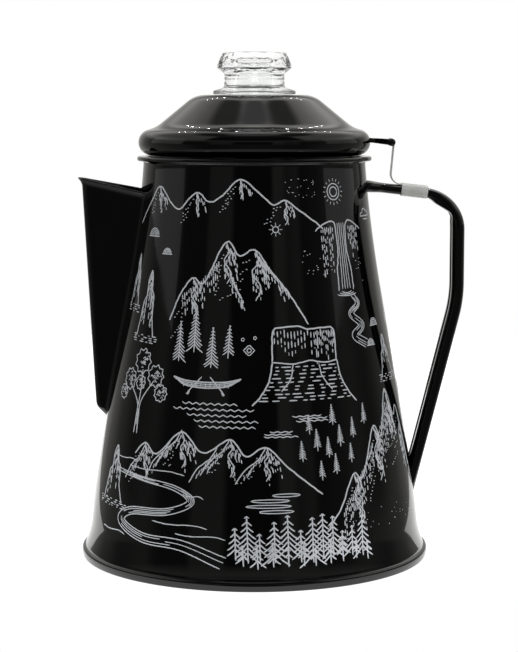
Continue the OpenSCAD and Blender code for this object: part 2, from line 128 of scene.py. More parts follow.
# ---------------------------------------------------------------- meshes

def mesh_object(name, verts, faces, material, smooth=True):
    """A mesh object from points in millimetres, with its faces turned outwards."""
    mesh = bpy.data.meshes.new(name)
    mesh.from_pydata([(x * MM, y * MM, z * MM) for x, y, z in verts], [], faces)
    bm = bmesh.new()
    bm.from_mesh(mesh)
    bmesh.ops.remove_doubles(bm, verts=bm.verts, dist=2e-6)
    bmesh.ops.recalc_face_normals(bm, faces=bm.faces)
    bm.to_mesh(mesh)
    bm.free()
    mesh.polygons.foreach_set("use_smooth", [smooth] * len(mesh.polygons))
    mesh.update()
    obj = bpy.data.objects.new(name, mesh)
    bpy.context.scene.collection.objects.link(obj)
    obj.data.materials.append(material)
    return obj


def sharpen(obj, degrees):
    """Marks edges sharper than that angle, so that smooth shading stops at them."""
    mesh = obj.data
    bm = bmesh.new()
    bm.from_mesh(mesh)
    limit = math.radians(degrees)
    for e in bm.edges:
        e.smooth = len(e.link_faces) == 2 and e.calc_face_angle(0) < limit
    bm.to_mesh(mesh)
    bm.free()


def lathe(name, profile, material, segments=256):
    """Turns a closed outline of (radius, height) round Z."""
    verts, rings, faces = [], [], []
    for r, z in profile:
        if r < 1e-6:
            rings.append([len(verts)] * segments)
            verts.append((0, 0, z))
            continue
        rings.append(list(range(len(verts), len(verts) + segments)))
        verts += [(r * math.cos(2 * math.pi * k / segments), r * math.sin(2 * math.pi * k / segments), z)
                  for k in range(segments)]
    for a, b in zip(rings, rings[1:] + rings[:1]):
        for k in range(segments):
            j = (k + 1) % segments
            corner = list(dict.fromkeys([a[k], a[j], b[j], b[k]]))
            if len(corner) > 2:
                faces.append(corner)
    return mesh_object(name, verts, faces, material)


def grid_faces(rows, cols, closed=False):
    """Quads of a grid of points, row by row. A closed grid joins its last column to its first."""
    last = cols if closed else cols - 1
    return [(i * cols + j, i * cols + (j + 1) % cols, (i + 1) * cols + (j + 1) % cols, (i + 1) * cols + j)
            for i in range(rows - 1) for j in range(last)]


def skin(loops, capped=True):
    """Points and faces over closed loops of equal length, with flat ends, or joined end to end."""
    count = len(loops[0])
    verts = [tuple(p) for loop in loops for p in loop]
    last = len(verts) - count
    faces = grid_faces(len(loops), count, closed=True)
    if capped:
        return verts, faces + [tuple(range(count)), tuple(range(last, last + count))]
    return verts, faces + [(last + j, last + (j + 1) % count, (j + 1) % count, j) for j in range(count)]


def joined(name, parts, material, smooth=True):
    """One mesh object from several (points, faces)."""
    verts, faces = [], []
    for v, f in parts:
        faces += [tuple(i + len(verts) for i in face) for face in f]
        verts += v
    return mesh_object(name, verts, faces, material, smooth)


def left_of(p):
    """Unit vectors to the left of the line through points p."""
    step = np.gradient(p, axis=0)
    step /= np.linalg.norm(step, axis=1)[:, None]
    return np.stack([-step[:, 1], step[:, 0]], axis=1)


def heading(a):
    """The unit vector at angle a, in radians."""
    return Vector((math.cos(a), math.sin(a)))


def solid_cut(obj, cutter):
    """Takes cutter away from obj, and deletes cutter."""
    mod = obj.modifiers.new("cut", "BOOLEAN")
    mod.object = cutter
    mod.operation = "DIFFERENCE"
    mod.solver = "EXACT"
    dg = bpy.context.evaluated_depsgraph_get()
    cut = bpy.data.meshes.new_from_object(obj.evaluated_get(dg))
    obj.modifiers.remove(mod)
    obj.data = cut
    bpy.data.objects.remove(cutter)
    cut.polygons.foreach_set("use_smooth", [True] * len(cut.polygons))


def finished(obj, body, node=None, crease=None):
    """Marks a piece's creases, hangs it under its body's empty, and hides the CAD node it stands for."""
    if crease:
        sharpen(obj, crease)
    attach(obj, body)
    if node:
        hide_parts(node)


# ---------------------------------------------------------------- materials

def new_material(name, **values):
    """A material's node tree, shader and object coordinates, with values set on the shader's own sockets."""
    material = bpy.data.materials.new(name)
    material.use_nodes = True
    tree = material.node_tree
    shader = tree.nodes["Principled BSDF"]
    for key, value in values.items():
        shader.inputs[key.replace("_", " ")].default_value = value
    return material, tree, shader, coordinates(tree)


def add(tree, kind, **settings):
    """A node with its settings. Names of inputs have spaces where settings have underscores."""
    node = tree.nodes.new(kind)
    for key, value in settings.items():
        if hasattr(node, key):
            setattr(node, key, value)
        else:
            node.inputs[key.replace("_", " ")].default_value = value
    return node


def coordinates(tree, scale=(1, 1, 1)):
    """The object's own coordinates in metres, stretched by scale."""
    where = add(tree, "ShaderNodeTexCoord")
    stretch = add(tree, "ShaderNodeMapping")
    stretch.inputs["Scale"].default_value = scale
    tree.links.new(where.outputs["Object"], stretch.inputs["Vector"])
    return stretch.outputs["Vector"]


def noise(tree, where, scale, detail=2.0, roughness=0.5):
    """A cloudy value from 0 to 1."""
    node = add(tree, "ShaderNodeTexNoise", Scale=scale, Detail=detail, Roughness=roughness)
    tree.links.new(where, node.inputs["Vector"])
    return node.outputs["Fac"]


def ramp(tree, value, low, high, out_low=0, out_high=1):
    """Maps value from low..high to out_low..out_high, held at the ends."""
    node = add(tree, "ShaderNodeMapRange", From_Min=low, From_Max=high, To_Min=out_low, To_Max=out_high)
    tree.links.new(value, node.inputs["Value"])
    return node.outputs["Result"]


def mixed(tree, factor, a, b):
    """A colour between a and b, which are colours or sockets."""
    node = tree.nodes.new("ShaderNodeMix")
    node.data_type = "RGBA"
    tree.links.new(factor, node.inputs[0])
    for socket, value in ((node.inputs[6], a), (node.inputs[7], b)):
        if hasattr(value, "links"):
            tree.links.new(value, socket)
        else:
            socket.default_value = (*value, 1)
    return node.outputs[2]


def tinted(tree, shader, spots, low, high, a, b):
    """A base colour that runs from a to b as spots runs from low to high."""
    tree.links.new(mixed(tree, ramp(tree, spots, low, high), a, b), shader.inputs["Base Color"])


def polished(tree, shader, spots, low, high, a, b):
    """A roughness that runs from a to b as spots runs from low to high."""
    tree.links.new(ramp(tree, spots, low, high, a, b), shader.inputs["Roughness"])


def cells(tree, where, scale, low, high, out_low, out_high):
    """A spot in the middle of each Voronoi cell."""
    node = add(tree, "ShaderNodeTexVoronoi", Scale=scale)
    tree.links.new(where, node.inputs["Vector"])
    return ramp(tree, node.outputs["Distance"], low, high, out_low, out_high)


def bumps(tree, shader, layers):
    """Chains bump nodes: each layer is (height socket, strength, distance in metres)."""
    normal = None
    for height, strength, distance in layers:
        node = add(tree, "ShaderNodeBump", Strength=strength, Distance=distance)
        tree.links.new(height, node.inputs["Height"])
        if normal is not None:
            tree.links.new(normal, node.inputs["Normal"])
        normal = node.outputs["Normal"]
    tree.links.new(normal, shader.inputs["Normal"])


def enamel_material():
    """Black vitreous enamel: glassy, with orange peel, tiny pinholes and faint handling marks."""
    material, tree, shader, where = new_material("black_enamel", IOR=1.52)
    tinted(tree, shader, noise(tree, where, 22, 3), 0.35, 0.7, (0.0008, 0.0008, 0.00088),
           (0.00152, 0.00152, 0.0016))
    polished(tree, shader, noise(tree, where, 60, 5, 0.62), 0.38, 0.74, 0.035, 0.11)
    ripple, peel = noise(tree, where, 55, 1), noise(tree, where, 420, 1)
    pinholes = cells(tree, where, 520, 0.0, 0.09, 0, 1)
    bumps(tree, shader, [(ripple, 0.25, 0.0003), (peel, 0.06, 0.00003), (pinholes, 0.06, 0.00002)])
    return material


def print_material():
    """White ceramic ink fired on the enamel, a little thin in places."""
    material, tree, shader, where = new_material("white_print")
    thin = noise(tree, where, 900, 2)
    tinted(tree, shader, thin, 0.3, 0.62, (0.74, 0.78, 0.84), (0.90, 0.93, 0.97))
    polished(tree, shader, thin, 0.3, 0.7, 0.42, 0.22)
    bumps(tree, shader, [(noise(tree, where, 2600, 2), 0.25, 0.00002)])
    return material


def steel_material(name, tone, metallic):
    """Satin steel with fine draw lines and a few scratches."""
    material, tree, shader, where = new_material(name, Metallic=metallic)
    drawn = noise(tree, coordinates(tree, (30, 900, 30)), 10, 4, 0.6)
    tinted(tree, shader, noise(tree, where, 190, 3), 0.3, 0.7, (tone * 0.84, tone * 0.84, tone * 0.81),
           (tone, tone, tone * 0.97))
    polished(tree, shader, drawn, 0.3, 0.7, 0.18, 0.36)
    bumps(tree, shader, [(drawn, 0.12, 0.00003), (noise(tree, where, 700, 2), 0.10, 0.00003)])
    return material


def aluminium_material():
    """Spun aluminium: rings round the axis, a dull bloom and small dents."""
    material, tree, shader, where = new_material("spun_aluminium", Metallic=1.0)
    bloom = noise(tree, where, 80, 5, 0.6)
    tinted(tree, shader, bloom, 0.3, 0.7, (0.6708, 0.6708, 0.6786), (0.78, 0.78, 0.7878))
    polished(tree, shader, bloom, 0.3, 0.75, 0.30, 0.46)
    rings = add(tree, "ShaderNodeTexWave", wave_type="RINGS", rings_direction="Z", Scale=260, Distortion=1.5,
                Detail=2.0)
    tree.links.new(where, rings.inputs["Vector"])
    dents = noise(tree, coordinates(tree, (1, 1, 40)), 60, 3)
    bumps(tree, shader, [(rings.outputs["Fac"], 0.06, 0.00003), (dents, 0.12, 0.00004)])
    return material


def glass_material():
    """Pressed soda glass: clear, faintly green, with soft ripples and seeds."""
    material, tree, shader, where = new_material("clear_glass", Transmission_Weight=1.0, IOR=1.5)
    cloud = noise(tree, where, 120, 3)
    tinted(tree, shader, cloud, 0.35, 0.7, (0.955, 0.965, 0.955), (0.985, 0.99, 0.985))
    polished(tree, shader, cloud, 0.3, 0.75, 0.02, 0.10)
    seeds = cells(tree, where, 430, 0.0, 0.16, 1, 0)
    bumps(tree, shader, [(noise(tree, where, 170, 2), 0.45, 0.0004), (seeds, 0.30, 0.00012)])
    return material


def floor_material():
    """Matt white paper, with a faint tooth."""
    material, tree, shader, where = new_material("white_floor", Roughness=0.8, Specular_IOR_Level=0.2,
                                                 Emission_Color=(1, 1, 1, 1), Emission_Strength=0.85)
    tooth = noise(tree, where, 40, 3)
    tinted(tree, shader, tooth, 0.3, 0.7, (0.90, 0.90, 0.90), (0.92, 0.92, 0.92))
    bumps(tree, shader, [(tooth, 0.05, 0.0002)])
    return material


ENAMEL = enamel_material()
PRINT = print_material()
# Nearly white and barely metallic: this base colour is painted sheen. It stands in for the bright reflections
# on the satin sleeve, leaf and washer.
STEEL = steel_material("steel_trim", 0.95, 0.1)
DARK_STEEL = steel_material("burnished_steel", 0.06, 1.0)
GLASS = glass_material()
ALUMINIUM = aluminium_material()

# ---------------------------------------------------------------- pot

SEAM_R = side_r(BEAD_H)
SEAM_Z = 1.5
CONTACT = 0.05
PLATE_Z = 3.2
PLATE_T = 1.1


def pot_wall():
    """The tapered wall with its hemmed rim, and the strainer holes behind the spout."""
    heights = np.concatenate([np.linspace(BEAD_H, FLARE_Z, 12, endpoint=False),
                              np.linspace(FLARE_Z, UNDER_RIM_Z - 1.2, 66)])
    outer = [(SEAM_R, SEAM_Z)] + [(side_r(z), z) for z in heights]
    top = side_r(UNDER_RIM_Z)
    outer += bow((top + 0.08, UNDER_RIM_Z - 1.2), (top, UNDER_RIM_Z), (top + 1.2, UNDER_RIM_Z), 4)[1:]
    hem = 0.8
    rim = arc(RIM_R - hem, UNDER_RIM_Z + hem, hem, -90, 0, 6) + arc(RIM_R - hem, RIM_Z - hem, hem, 0, 90, 6)
    inner_top = top - WALL_T
    mouth = arc(inner_top + 0.9, RIM_Z - 0.9, 0.9, 90, 180, 5)
    inner = [(side_r(z) - WALL_T, z) for z in np.linspace(UNDER_RIM_Z - 1, BEAD_H, 34)]
    wall = lathe("pot_wall", outer + rim + mouth + inner + [(SEAM_R - WALL_T, SEAM_Z)], ENAMEL, 288)
    solid_cut(wall, strainer_cutter())
    finished(wall, "pot", "pot_shell", crease=50)


def strainer_cutter():
    """Rods through the wall, in rows that widen upwards behind the spout."""
    low_z, pitch, rows, hole_r, sides = 92, 7.5, 8, 1.6, 24
    rods = []
    for row in range(rows):
        z = low_z + pitch * row
        count = 1 + row // 2
        for i in range(count):
            a = math.pi + math.asin(pitch / side_r(z)) * (i - (count - 1) / 2)
            out = np.array([math.cos(a), math.sin(a), 0])
            across = np.array([-math.sin(a), math.cos(a), 0])
            ring = [across * u + np.array([0, 0, z + v]) for u, v in arc(0, 0, hole_r, 0, 360, sides)[:-1]]
            rods.append(skin([[out * reach + p for p in ring] for reach in (side_r(z) - 4, side_r(z) + 3)]))
    return joined("strainer_rods", rods, ENAMEL)


def base():
    """The recessed base with the folded bead that grips the foot of the wall."""
    out = SEAM_R + CONTACT
    into = SEAM_R - WALL_T - CONTACT
    lip = into - 1.4
    profile = [(0, PLATE_Z), (lip * 0.5, PLATE_Z), (lip - 2.2, PLATE_Z)]
    profile += bow((lip - 1.2, PLATE_Z), (lip, PLATE_Z), (lip, PLATE_Z - 1.2), 5)
    profile += arc(lip + 0.8, 0.8, 0.8, 180, 270, 6)
    profile += arc(BEAD_R - 1.1, 0.9, 0.9, -90, -8, 6)
    profile += bow((BEAD_R - 0.15, 1.1), (BEAD_R, 1.8), (BEAD_R, 2.6), 4)[:-1]
    profile += arc(BEAD_R - 1.6, BEAD_H - 1.7, 1.6, 0, 90, 10)
    profile += bow((BEAD_R - 1.7, BEAD_H - 0.1), (out + 0.1, BEAD_H - 0.1), (out, BEAD_H - 0.5), 3)
    profile += [(out, SEAM_Z - CONTACT), (into, SEAM_Z - CONTACT), (into, PLATE_Z + PLATE_T)]
    profile += [(lip * 0.5, PLATE_Z + PLATE_T), (0, PLATE_Z + PLATE_T)]
    plate = lathe("base_and_bead", profile, ENAMEL, 288)
    finished(plate, "pot", "base_plate", crease=50)


# ---------------------------------------------------------------- spout

NOSE_TOP_X = 75.2
NOSE_ROUND = 3.6
SPOUT_T = 1.1
MOUTH_TILT = math.radians(11.5)
MOUTH_NOSE_Z = 165.3
TILT_FROM_Z = 85
TILT_RISE = 70
LIP_H = 3.6
LIP_OUT = 1.8
SPOUT_HALF_ANGLE = math.radians(24)
NOSE_TURN = math.pi / 2 - SPOUT_HALF_ANGLE
FLANK_OUT = np.array([math.sin(SPOUT_HALF_ANGLE), math.cos(SPOUT_HALF_ANGLE)])
FLANK_BACK = np.array([-math.cos(SPOUT_HALF_ANGLE), math.sin(SPOUT_HALF_ANGLE)])


def wedge_point(c, rho, s):
    """A point on a rounded wedge's outline, s millimetres round from its nose. c is the nose's centre."""
    if s < rho * NOSE_TURN:
        return np.array([c + rho * math.cos(s / rho), rho * math.sin(s / rho)])
    return np.array([c, 0]) + rho * FLANK_OUT + (s - rho * NOSE_TURN) * FLANK_BACK


def wedge_gap(c, rho, p):
    """Distance from point p to the wedge, its nearest outline normal, and that point's s."""
    q = p - np.array([c, 0])
    if q @ FLANK_BACK >= 0:
        return q @ FLANK_OUT - rho, FLANK_OUT, rho * NOSE_TURN + q @ FLANK_BACK
    size = float(np.linalg.norm(q))
    return size - rho, q / size, rho * math.atan2(q[1], q[0])


def bisect(f, low, high, steps=40):
    """Where f, negative at low and positive at high, crosses zero."""
    for _ in range(steps):
        mid = (low + high) / 2
        if f(mid) < 0:
            low = mid
        else:
            high = mid
    return (low + high) / 2


def spout_row(nose_x, nose_z, tilt, flare):
    """One closed section of the spout: outside with a weld fillet at the wall, then back inside."""
    rho = NOSE_ROUND + flare
    c = nose_x - NOSE_ROUND
    along, fillet_steps = 26, 6

    def height(x):
        return nose_z - (nose_x + flare - x) * math.tan(tilt)

    wall = side_r(nose_z)
    for _ in range(4):
        room = nose_x + flare - wall
        fillet = min(2.6, max(0.05, room * 0.8))
        ring = wall + fillet

        def gap(a):
            return wedge_gap(c, rho, ring * np.array([math.cos(a), math.sin(a)]))[0] - fillet

        a = 0.0 if gap(0.0) >= 0 else bisect(gap, 0.0, math.radians(75))
        centre = ring * np.array([math.cos(a), math.sin(a)])
        _, normal, s_end = wedge_gap(c, rho, centre)
        foot = centre * wall / ring
        wall = side_r(height(foot[0]))
    half = [wedge_point(c, rho, s_end * i / along) for i in range(along + 1)]
    start = math.atan2(-normal[1], -normal[0])
    end = math.atan2(-centre[1], -centre[0])
    while end < start:
        end += 2 * math.pi
    if end - start > math.pi:
        end -= 2 * math.pi
    for i in range(1, fillet_steps + 1):
        b = start + (end - start) * i / fillet_steps
        half.append(centre + fillet * np.array([math.cos(b), math.sin(b)]))
    half.append(foot * (wall - 0.6) / wall)
    rho_in = rho - SPOUT_T
    inner_end = wall - 0.35
    if c + rho_in > inner_end:
        s_in = bisect(lambda s: inner_end - float(np.linalg.norm(wedge_point(c, rho_in, s))), 0.0, 60.0)
        inner = [wedge_point(c, rho_in, s_in * i / along) for i in range(along + 1)]
    else:
        inner = [np.array([wall - 0.6, 0.02 * i / along]) for i in range(along + 1)]

    def place(p, side):
        return (-p[0], side * p[1], height(p[0]))

    outside = [place(p, -1) for p in reversed(half)] + [place(p, 1) for p in half[1:]]
    inside = [place(p, 1) for p in reversed(inner)] + [place(p, -1) for p in inner[1:]]
    return outside, inside


def spout():
    """The folded spout: a V of sheet with a round nose, a flared lip and a filled weld."""
    lip_z = MOUTH_NOSE_Z - LIP_H
    path = rounded([(64.6, 59.6, 0), (69.9, 65.0, 5), (NOSE_TOP_X, lip_z, 0)], 8, closed=False)
    above_bend = (70.56, 76)
    low = resampled([p for p in path if p[1] < above_bend[1]] + [above_bend], 0.7)
    high = resampled([above_bend, (NOSE_TOP_X, lip_z)], 2.4)[1:]
    stations = [(x, z, 0.0) for x, z in list(low) + list(high)]
    lip_steps = 9
    for i in range(1, lip_steps + 1):
        t = i / lip_steps
        stations.append((NOSE_TOP_X, lip_z + LIP_H * t, LIP_OUT * t ** 1.8))
    rows = []
    for x, z, flare in stations:
        rows.append(spout_row(x, z, MOUTH_TILT * eased((z - TILT_FROM_Z) / TILT_RISE), flare))
    outside, inside = (np.array(side) for side in rows[-1])
    count_out, count_in = len(outside), len(inside)
    loops = [list(o) + list(i) for o, i in rows]
    # the lip's edge: outside and inside drawn together over a half round
    partner_in, partner_out = respaced(inside[::-1], count_out), respaced(outside[::-1], count_in)
    edge_steps = 4
    for i in range(1, edge_steps + 1):
        a = math.pi / 2 * i / edge_steps
        lift = np.array([0, 0, SPOUT_T / 2 * math.sin(a)])
        o = (outside + partner_in) / 2 + (outside - partner_in) / 2 * math.cos(a) + lift
        n = (inside + partner_out) / 2 + (inside - partner_out) / 2 * math.cos(a) + lift
        loops.append([tuple(p) for p in o] + [tuple(p) for p in n])
    count = count_out + count_in
    verts = [p for loop in loops for p in loop]
    faces = grid_faces(len(loops), count, closed=True)
    faces.append(tuple(range(count)))
    # the last loop is folded flat on itself, so it is stitched shut pair by pair
    last = (len(loops) - 1) * count
    for k in range(count_out - 1):
        j = count_out + int(round((1 - (k + 0.5) / (count_out - 1)) * (count_in - 1) - 0.5))
        faces.append((last + k, last + k + 1, last + min(j, count - 1), last + min(j + 1, count - 1)))
    piece = mesh_object("spout_sheet", verts, faces, ENAMEL)
    finished(piece, "pot", "spout", crease=60)


# ---------------------------------------------------------------- handle

GRIP_X = 88.9
TOP_SLOPE = math.radians(6.5)
LOW_SLOPE = math.radians(14)
TOP_START = Vector((47.5, 162.1))
LOW_VERTEX = Vector((GRIP_X, 112.6))
BEND_R = 16
LOW_BEND_R = 60
STRAP_END_Z = 26
STRAP_SHEET = 1.1
SLOT_HALF_W = 2.4
GRIP_HALF_W = 7.5
GRIP_T = 5.7
NECK_HALF_W = 6.0
NECK_T = 4.2
TOP_DIR = Vector((math.cos(TOP_SLOPE), -math.sin(TOP_SLOPE)))
TOP_NORMAL = Vector((math.sin(TOP_SLOPE), math.cos(TOP_SLOPE)))


def on_top(x):
    """A point on the middle line of the handle's top run, at distance x from the pot's axis."""
    return TOP_START + TOP_DIR * ((x - TOP_START.x) / math.cos(TOP_SLOPE))


def strap_stations():
    """Stations of the handle: place, direction of its outer face, half width, thickness, inner stretch."""
    turn = math.pi / 2 - TOP_SLOPE
    corner = on_top(GRIP_X)
    bend_start = corner - TOP_DIR * BEND_R * math.tan(turn / 2)
    centre = bend_start - TOP_NORMAL * BEND_R
    out = []
    for x in np.linspace(43, bend_start.x, 22, endpoint=False):
        near_wall = eased((56 - x) / 7)
        half_w = NECK_HALF_W + 2.4 * near_wall
        thick = NECK_T + 0.8 * near_wall
        out.append((on_top(x), turn, half_w, thick, 1.0))
    # the inner side of the bend is drawn straight and then kinks, where the rolled edges were folded
    chord_a, chord_b = Vector((76.5, 155.7)), Vector((85.5, 150.2))
    chord_n = Vector((chord_a.y - chord_b.y, chord_b.x - chord_a.x)).normalized()
    steps = 30
    for i in range(steps + 1):
        t = i / steps
        a = turn * (1 - t)
        ray = heading(a)
        half_w = NECK_HALF_W + (GRIP_HALF_W - NECK_HALF_W) * eased(t)
        thick = NECK_T + (GRIP_T - NECK_T) * eased(t)
        along_chord = (chord_a - centre).dot(chord_n) / max(ray.dot(chord_n), 0.05)
        upright = (GRIP_X - GRIP_T / 2 - centre.x) / max(ray.x, 0.05)
        inner_r = -math.log(math.exp(-along_chord / 0.35) + math.exp(-upright / 0.35)) * 0.35
        wanted = (BEND_R - inner_r) / (thick / 2)
        fade = min(1.0, 4 * t, 4 * (1 - t))
        out.append((centre + ray * BEND_R, a, half_w, thick, 1 + (min(max(wanted, 0.7), 1.5) - 1) * fade))
    low_centre = LOW_VERTEX + Vector((-LOW_BEND_R, LOW_BEND_R * math.tan(LOW_SLOPE / 2)))
    bend_low_z = low_centre.y
    for z in np.linspace(out[-1][0].y, bend_low_z, 14)[1:-1]:
        out.append((Vector((GRIP_X, z)), 0.0, GRIP_HALF_W, GRIP_T, 1.0))
    for i in range(13):
        a = -LOW_SLOPE * i / 12
        ray = heading(a)
        out.append((low_centre + ray * LOW_BEND_R, a, GRIP_HALF_W, GRIP_T, 1.0))
    start = out[-1][0]
    low_dir = Vector((-math.sin(LOW_SLOPE), -math.cos(LOW_SLOPE)))
    length = (start.y - STRAP_END_Z) / math.cos(LOW_SLOPE)
    for i in range(1, 41):
        s = length * i / 40
        near_wall = eased((s - length + 22) / 20)
        out.append((start + low_dir * s, -LOW_SLOPE, GRIP_HALF_W + 0.5 * near_wall, GRIP_T, 1.0))
    return out


def strap_section(half_w, thick, inner_stretch):
    """The rolled strip's closed outline as (across, outwards): sheet bent round into a C."""
    half_t = STRAP_SHEET / 2
    a, b = half_w - half_t, thick / 2 - half_t
    power = 2 / 2.7
    knee = 2.1
    line = [(a * math.sin(t) ** power, b * math.cos(t) ** power) for t in np.linspace(0, math.pi / 2, 13)]
    line += [(a - knee * (1 - math.cos(t) ** power), -b * math.sin(t) ** power)
             for t in np.linspace(0, math.pi / 2, 8)[1:]]
    line += [(SLOT_HALF_W + half_t + 0.3, -b), (SLOT_HALF_W + half_t * 0.6, -b)]
    p = resampled(line, 0.55)
    pick, away = respaced(p, 26), respaced(left_of(p), 26)
    outer = pick + away * half_t
    inner = pick - away * half_t
    lip_c, lip_n = pick[-1], away[-1]
    lip_d = np.array([lip_n[1], -lip_n[0]])
    lip = [lip_c + half_t * (lip_n * math.cos(u) + lip_d * math.sin(u))
           for u in (math.pi * k / 6 for k in range(1, 6))]
    half = list(outer) + lip + list(inner[::-1])
    half = [(x, y * inner_stretch if y < 0 else y) for x, y in half]
    return half + [(-x, y) for x, y in half[-2:0:-1]]


def handle():
    """The strap handle, cut off flush inside the wall at both ends."""
    loops = [[(place.x + out * math.cos(facing), across, place.y + out * math.sin(facing))
              for across, out in strap_section(half_w, thick, stretch)]
             for place, facing, half_w, thick, stretch in strap_stations()]
    piece = mesh_object("handle_strap_rolled", *skin(loops), ENAMEL)
    low_z, high_z, bite = 10, 171, 0.45
    inside_wall = [(side_r(z) - bite, z) for z in np.linspace(low_z, high_z, 60)]
    inside_wall = [(0, low_z)] + inside_wall + [(0, high_z)]
    solid_cut(piece, lathe("handle_cutter", inside_wall, ENAMEL, 192))
    finished(piece, "pot", "handle_strap", crease=55)


FERRULE_X = (63.8, 75.2)
FERRULE_WALL = 0.35
LEAF_T = 0.5
LEAF_W = 7.0


def stadium_loop(half_w, half_h, corner, steps=8):
    """Points round a rounded rectangle, as (across, up)."""
    out = []
    for cx, cy, start in ((1, 1, 0), (-1, 1, 90), (-1, -1, 180), (1, -1, 270)):
        out += arc(cx * (half_w - corner), cy * (half_h - corner), corner, start, start + 90, steps)
    return out


def ferrule():
    """The bright sleeve round the handle and the hinge leaf, with soft ends and a light crimp."""
    room = (NECK_T + LEAF_T) / 2 + CONTACT
    wide = NECK_HALF_W + 0.45
    middle = on_top(sum(FERRULE_X) / 2)
    half_len = (FERRULE_X[1] - FERRULE_X[0]) / 2 / math.cos(TOP_SLOPE)
    half = [(1, -0.16), (0.985, -0.05), (0.96, 0), (0.8, 0), (0.55, 0), (0.5, -0.05), (0.45, 0), (0, 0.02)]
    ends = [(-half_len * s, grow) for s, grow in half] + [(half_len * s, grow) for s, grow in half[-2::-1]]
    rings = [(x, FERRULE_WALL + grow) for x, grow in ends] + [(x, 0.0) for x, _ in reversed(ends)]
    loops = []
    for x, grow in rings:
        loop = [(across, middle + TOP_DIR * x + TOP_NORMAL * (up + LEAF_T / 2))
                for across, up in stadium_loop(wide + grow, room + grow, room + grow - 0.25)]
        loops.append([(p.x, across, p.y) for across, p in loop])
    piece = mesh_object("ferrule_sleeve", *skin(loops, capped=False), STEEL)
    finished(piece, "pot", "handle_ferrule", crease=50)


# ---------------------------------------------------------------- lid hinge

PIN = Vector((59.5, 180.9))
PIN_R = 0.85
LEAF_ROLL_R = PIN_R + 0.07 + LEAF_T / 2
LEAF_LIFT = NECK_T / 2 + CONTACT / 2 + LEAF_T / 2
LEAF_END_X = 74.6
LEAF_BEND_R = 4.5
LEAF_VERTEX_X = 58.8


def on_leaf(x):
    """A point on the middle line of the leaf where it lies on the handle."""
    return on_top(x) + TOP_NORMAL * LEAF_LIFT


def leaf():
    """The thin spring leaf: flat under the sleeve, bent up, and rolled round the hinge pin."""
    vertex = on_leaf(LEAF_VERTEX_X)
    to_pin = PIN - vertex
    rise = math.atan2(to_pin.y, to_pin.x) - math.asin(LEAF_ROLL_R / to_pin.length)
    turn = math.pi - TOP_SLOPE - rise
    back = LEAF_BEND_R * math.tan(turn / 2)
    centre = on_leaf(LEAF_VERTEX_X + back * math.cos(TOP_SLOPE)) + TOP_NORMAL * LEAF_BEND_R
    line = [tuple(on_leaf(x)) for x in np.linspace(LEAF_END_X, LEAF_VERTEX_X + back, 8)[:-1]]
    for i in range(15):
        a = -math.pi / 2 - TOP_SLOPE - turn * i / 14
        line.append(tuple(centre + heading(a) * LEAF_BEND_R))
    knuckle = PIN + heading(rise - math.pi / 2) * LEAF_ROLL_R
    bottom = Vector(line[-1])
    line += [tuple(bottom.lerp(knuckle, t)) for t in (0.15, 0.35, 0.55, 0.75, 0.92)]
    line += arc(PIN.x, PIN.y, LEAF_ROLL_R, math.degrees(rise) - 90, math.degrees(rise) + 205, 30)
    section = stadium_loop(LEAF_W / 2, LEAF_T / 2, 0.2, 3)
    p = np.array(line)
    loops = [[(x + up * u, across, z + up * v) for across, up in section]
             for (x, z), (u, v) in zip(p, left_of(p))]
    piece = mesh_object("hinge_leaf_strip", *skin(loops), STEEL)
    finished(piece, "pot", "hinge_leaf", crease=45)


EAR_T = 1.2
EAR_R = 1.65
TAB_T = 2.0
GAP = 0.3
TAB_HALF_W = LEAF_W / 2 + GAP + EAR_T
TAB_ROOT = Vector((46, 182.2))


def slab(outline, y0, y1, soft):
    """Points and faces of a flat plate in XZ from y0 to y1, with its edges eased by soft."""
    shape = np.array(outline, float)
    middle = shape.mean(axis=0)
    layers = []
    for y, inset in ((y0, soft), (y0 + soft * 0.3, soft * 0.3), (y0 + soft, 0),
                     (y1 - soft, 0), (y1 - soft * 0.3, soft * 0.3), (y1, soft)):
        away = shape - middle
        size = np.linalg.norm(away, axis=1)[:, None]
        layers.append([(x, y, z) for x, z in middle + away * (1 - inset / size)])
    return skin(layers)


def hinge_tab():
    """The enamelled tab on the back of the lid, with the two ears that hold the pin."""
    d = (PIN - TAB_ROOT).normalized()
    n = Vector((-d.y, d.x))
    aim = math.degrees(math.atan2(d.y, d.x))
    end = PIN - d * 2.1
    up = n * TAB_T / 2
    plate = rounded([(*(TAB_ROOT + up), 0), (*(end + up), 0.7), (*(end - up), 0.7), (*(TAB_ROOT - up), 0)], 4)
    ear = [tuple(TAB_ROOT + d * 6 + up), tuple(TAB_ROOT + d * 6 - up)]
    ear += arc(PIN.x, PIN.y, EAR_R, aim - 130, aim + 130, 22)
    piece = joined("lid_hinge_ears", [
        slab(plate, -TAB_HALF_W, TAB_HALF_W, 0.3),
        slab(ear, -TAB_HALF_W, -TAB_HALF_W + EAR_T, 0.25),
        slab(ear, TAB_HALF_W - EAR_T, TAB_HALF_W, 0.25)], ENAMEL)
    finished(piece, "lid", "lid_hinge_tab", crease=50)


def pin():
    """The riveted hinge pin with domed heads."""
    half = TAB_HALF_W + CONTACT
    head = [(0, 0.5), (0.5, 0.48), (0.95, 0.36), (1.2, 0.14), (1.25, 0), (PIN_R, 0)]
    profile = [(r, half + z) for r, z in head] + [(r, -half - z) for r, z in reversed(head)]
    piece = lathe("hinge_rivet", profile, DARK_STEEL, 32)
    for v in piece.data.vertices:
        x, y, z = v.co
        v.co = (PIN.x * MM + x, z, PIN.y * MM + y)
    finished(piece, "lid", "hinge_pin", crease=50)


# ---------------------------------------------------------------- lid

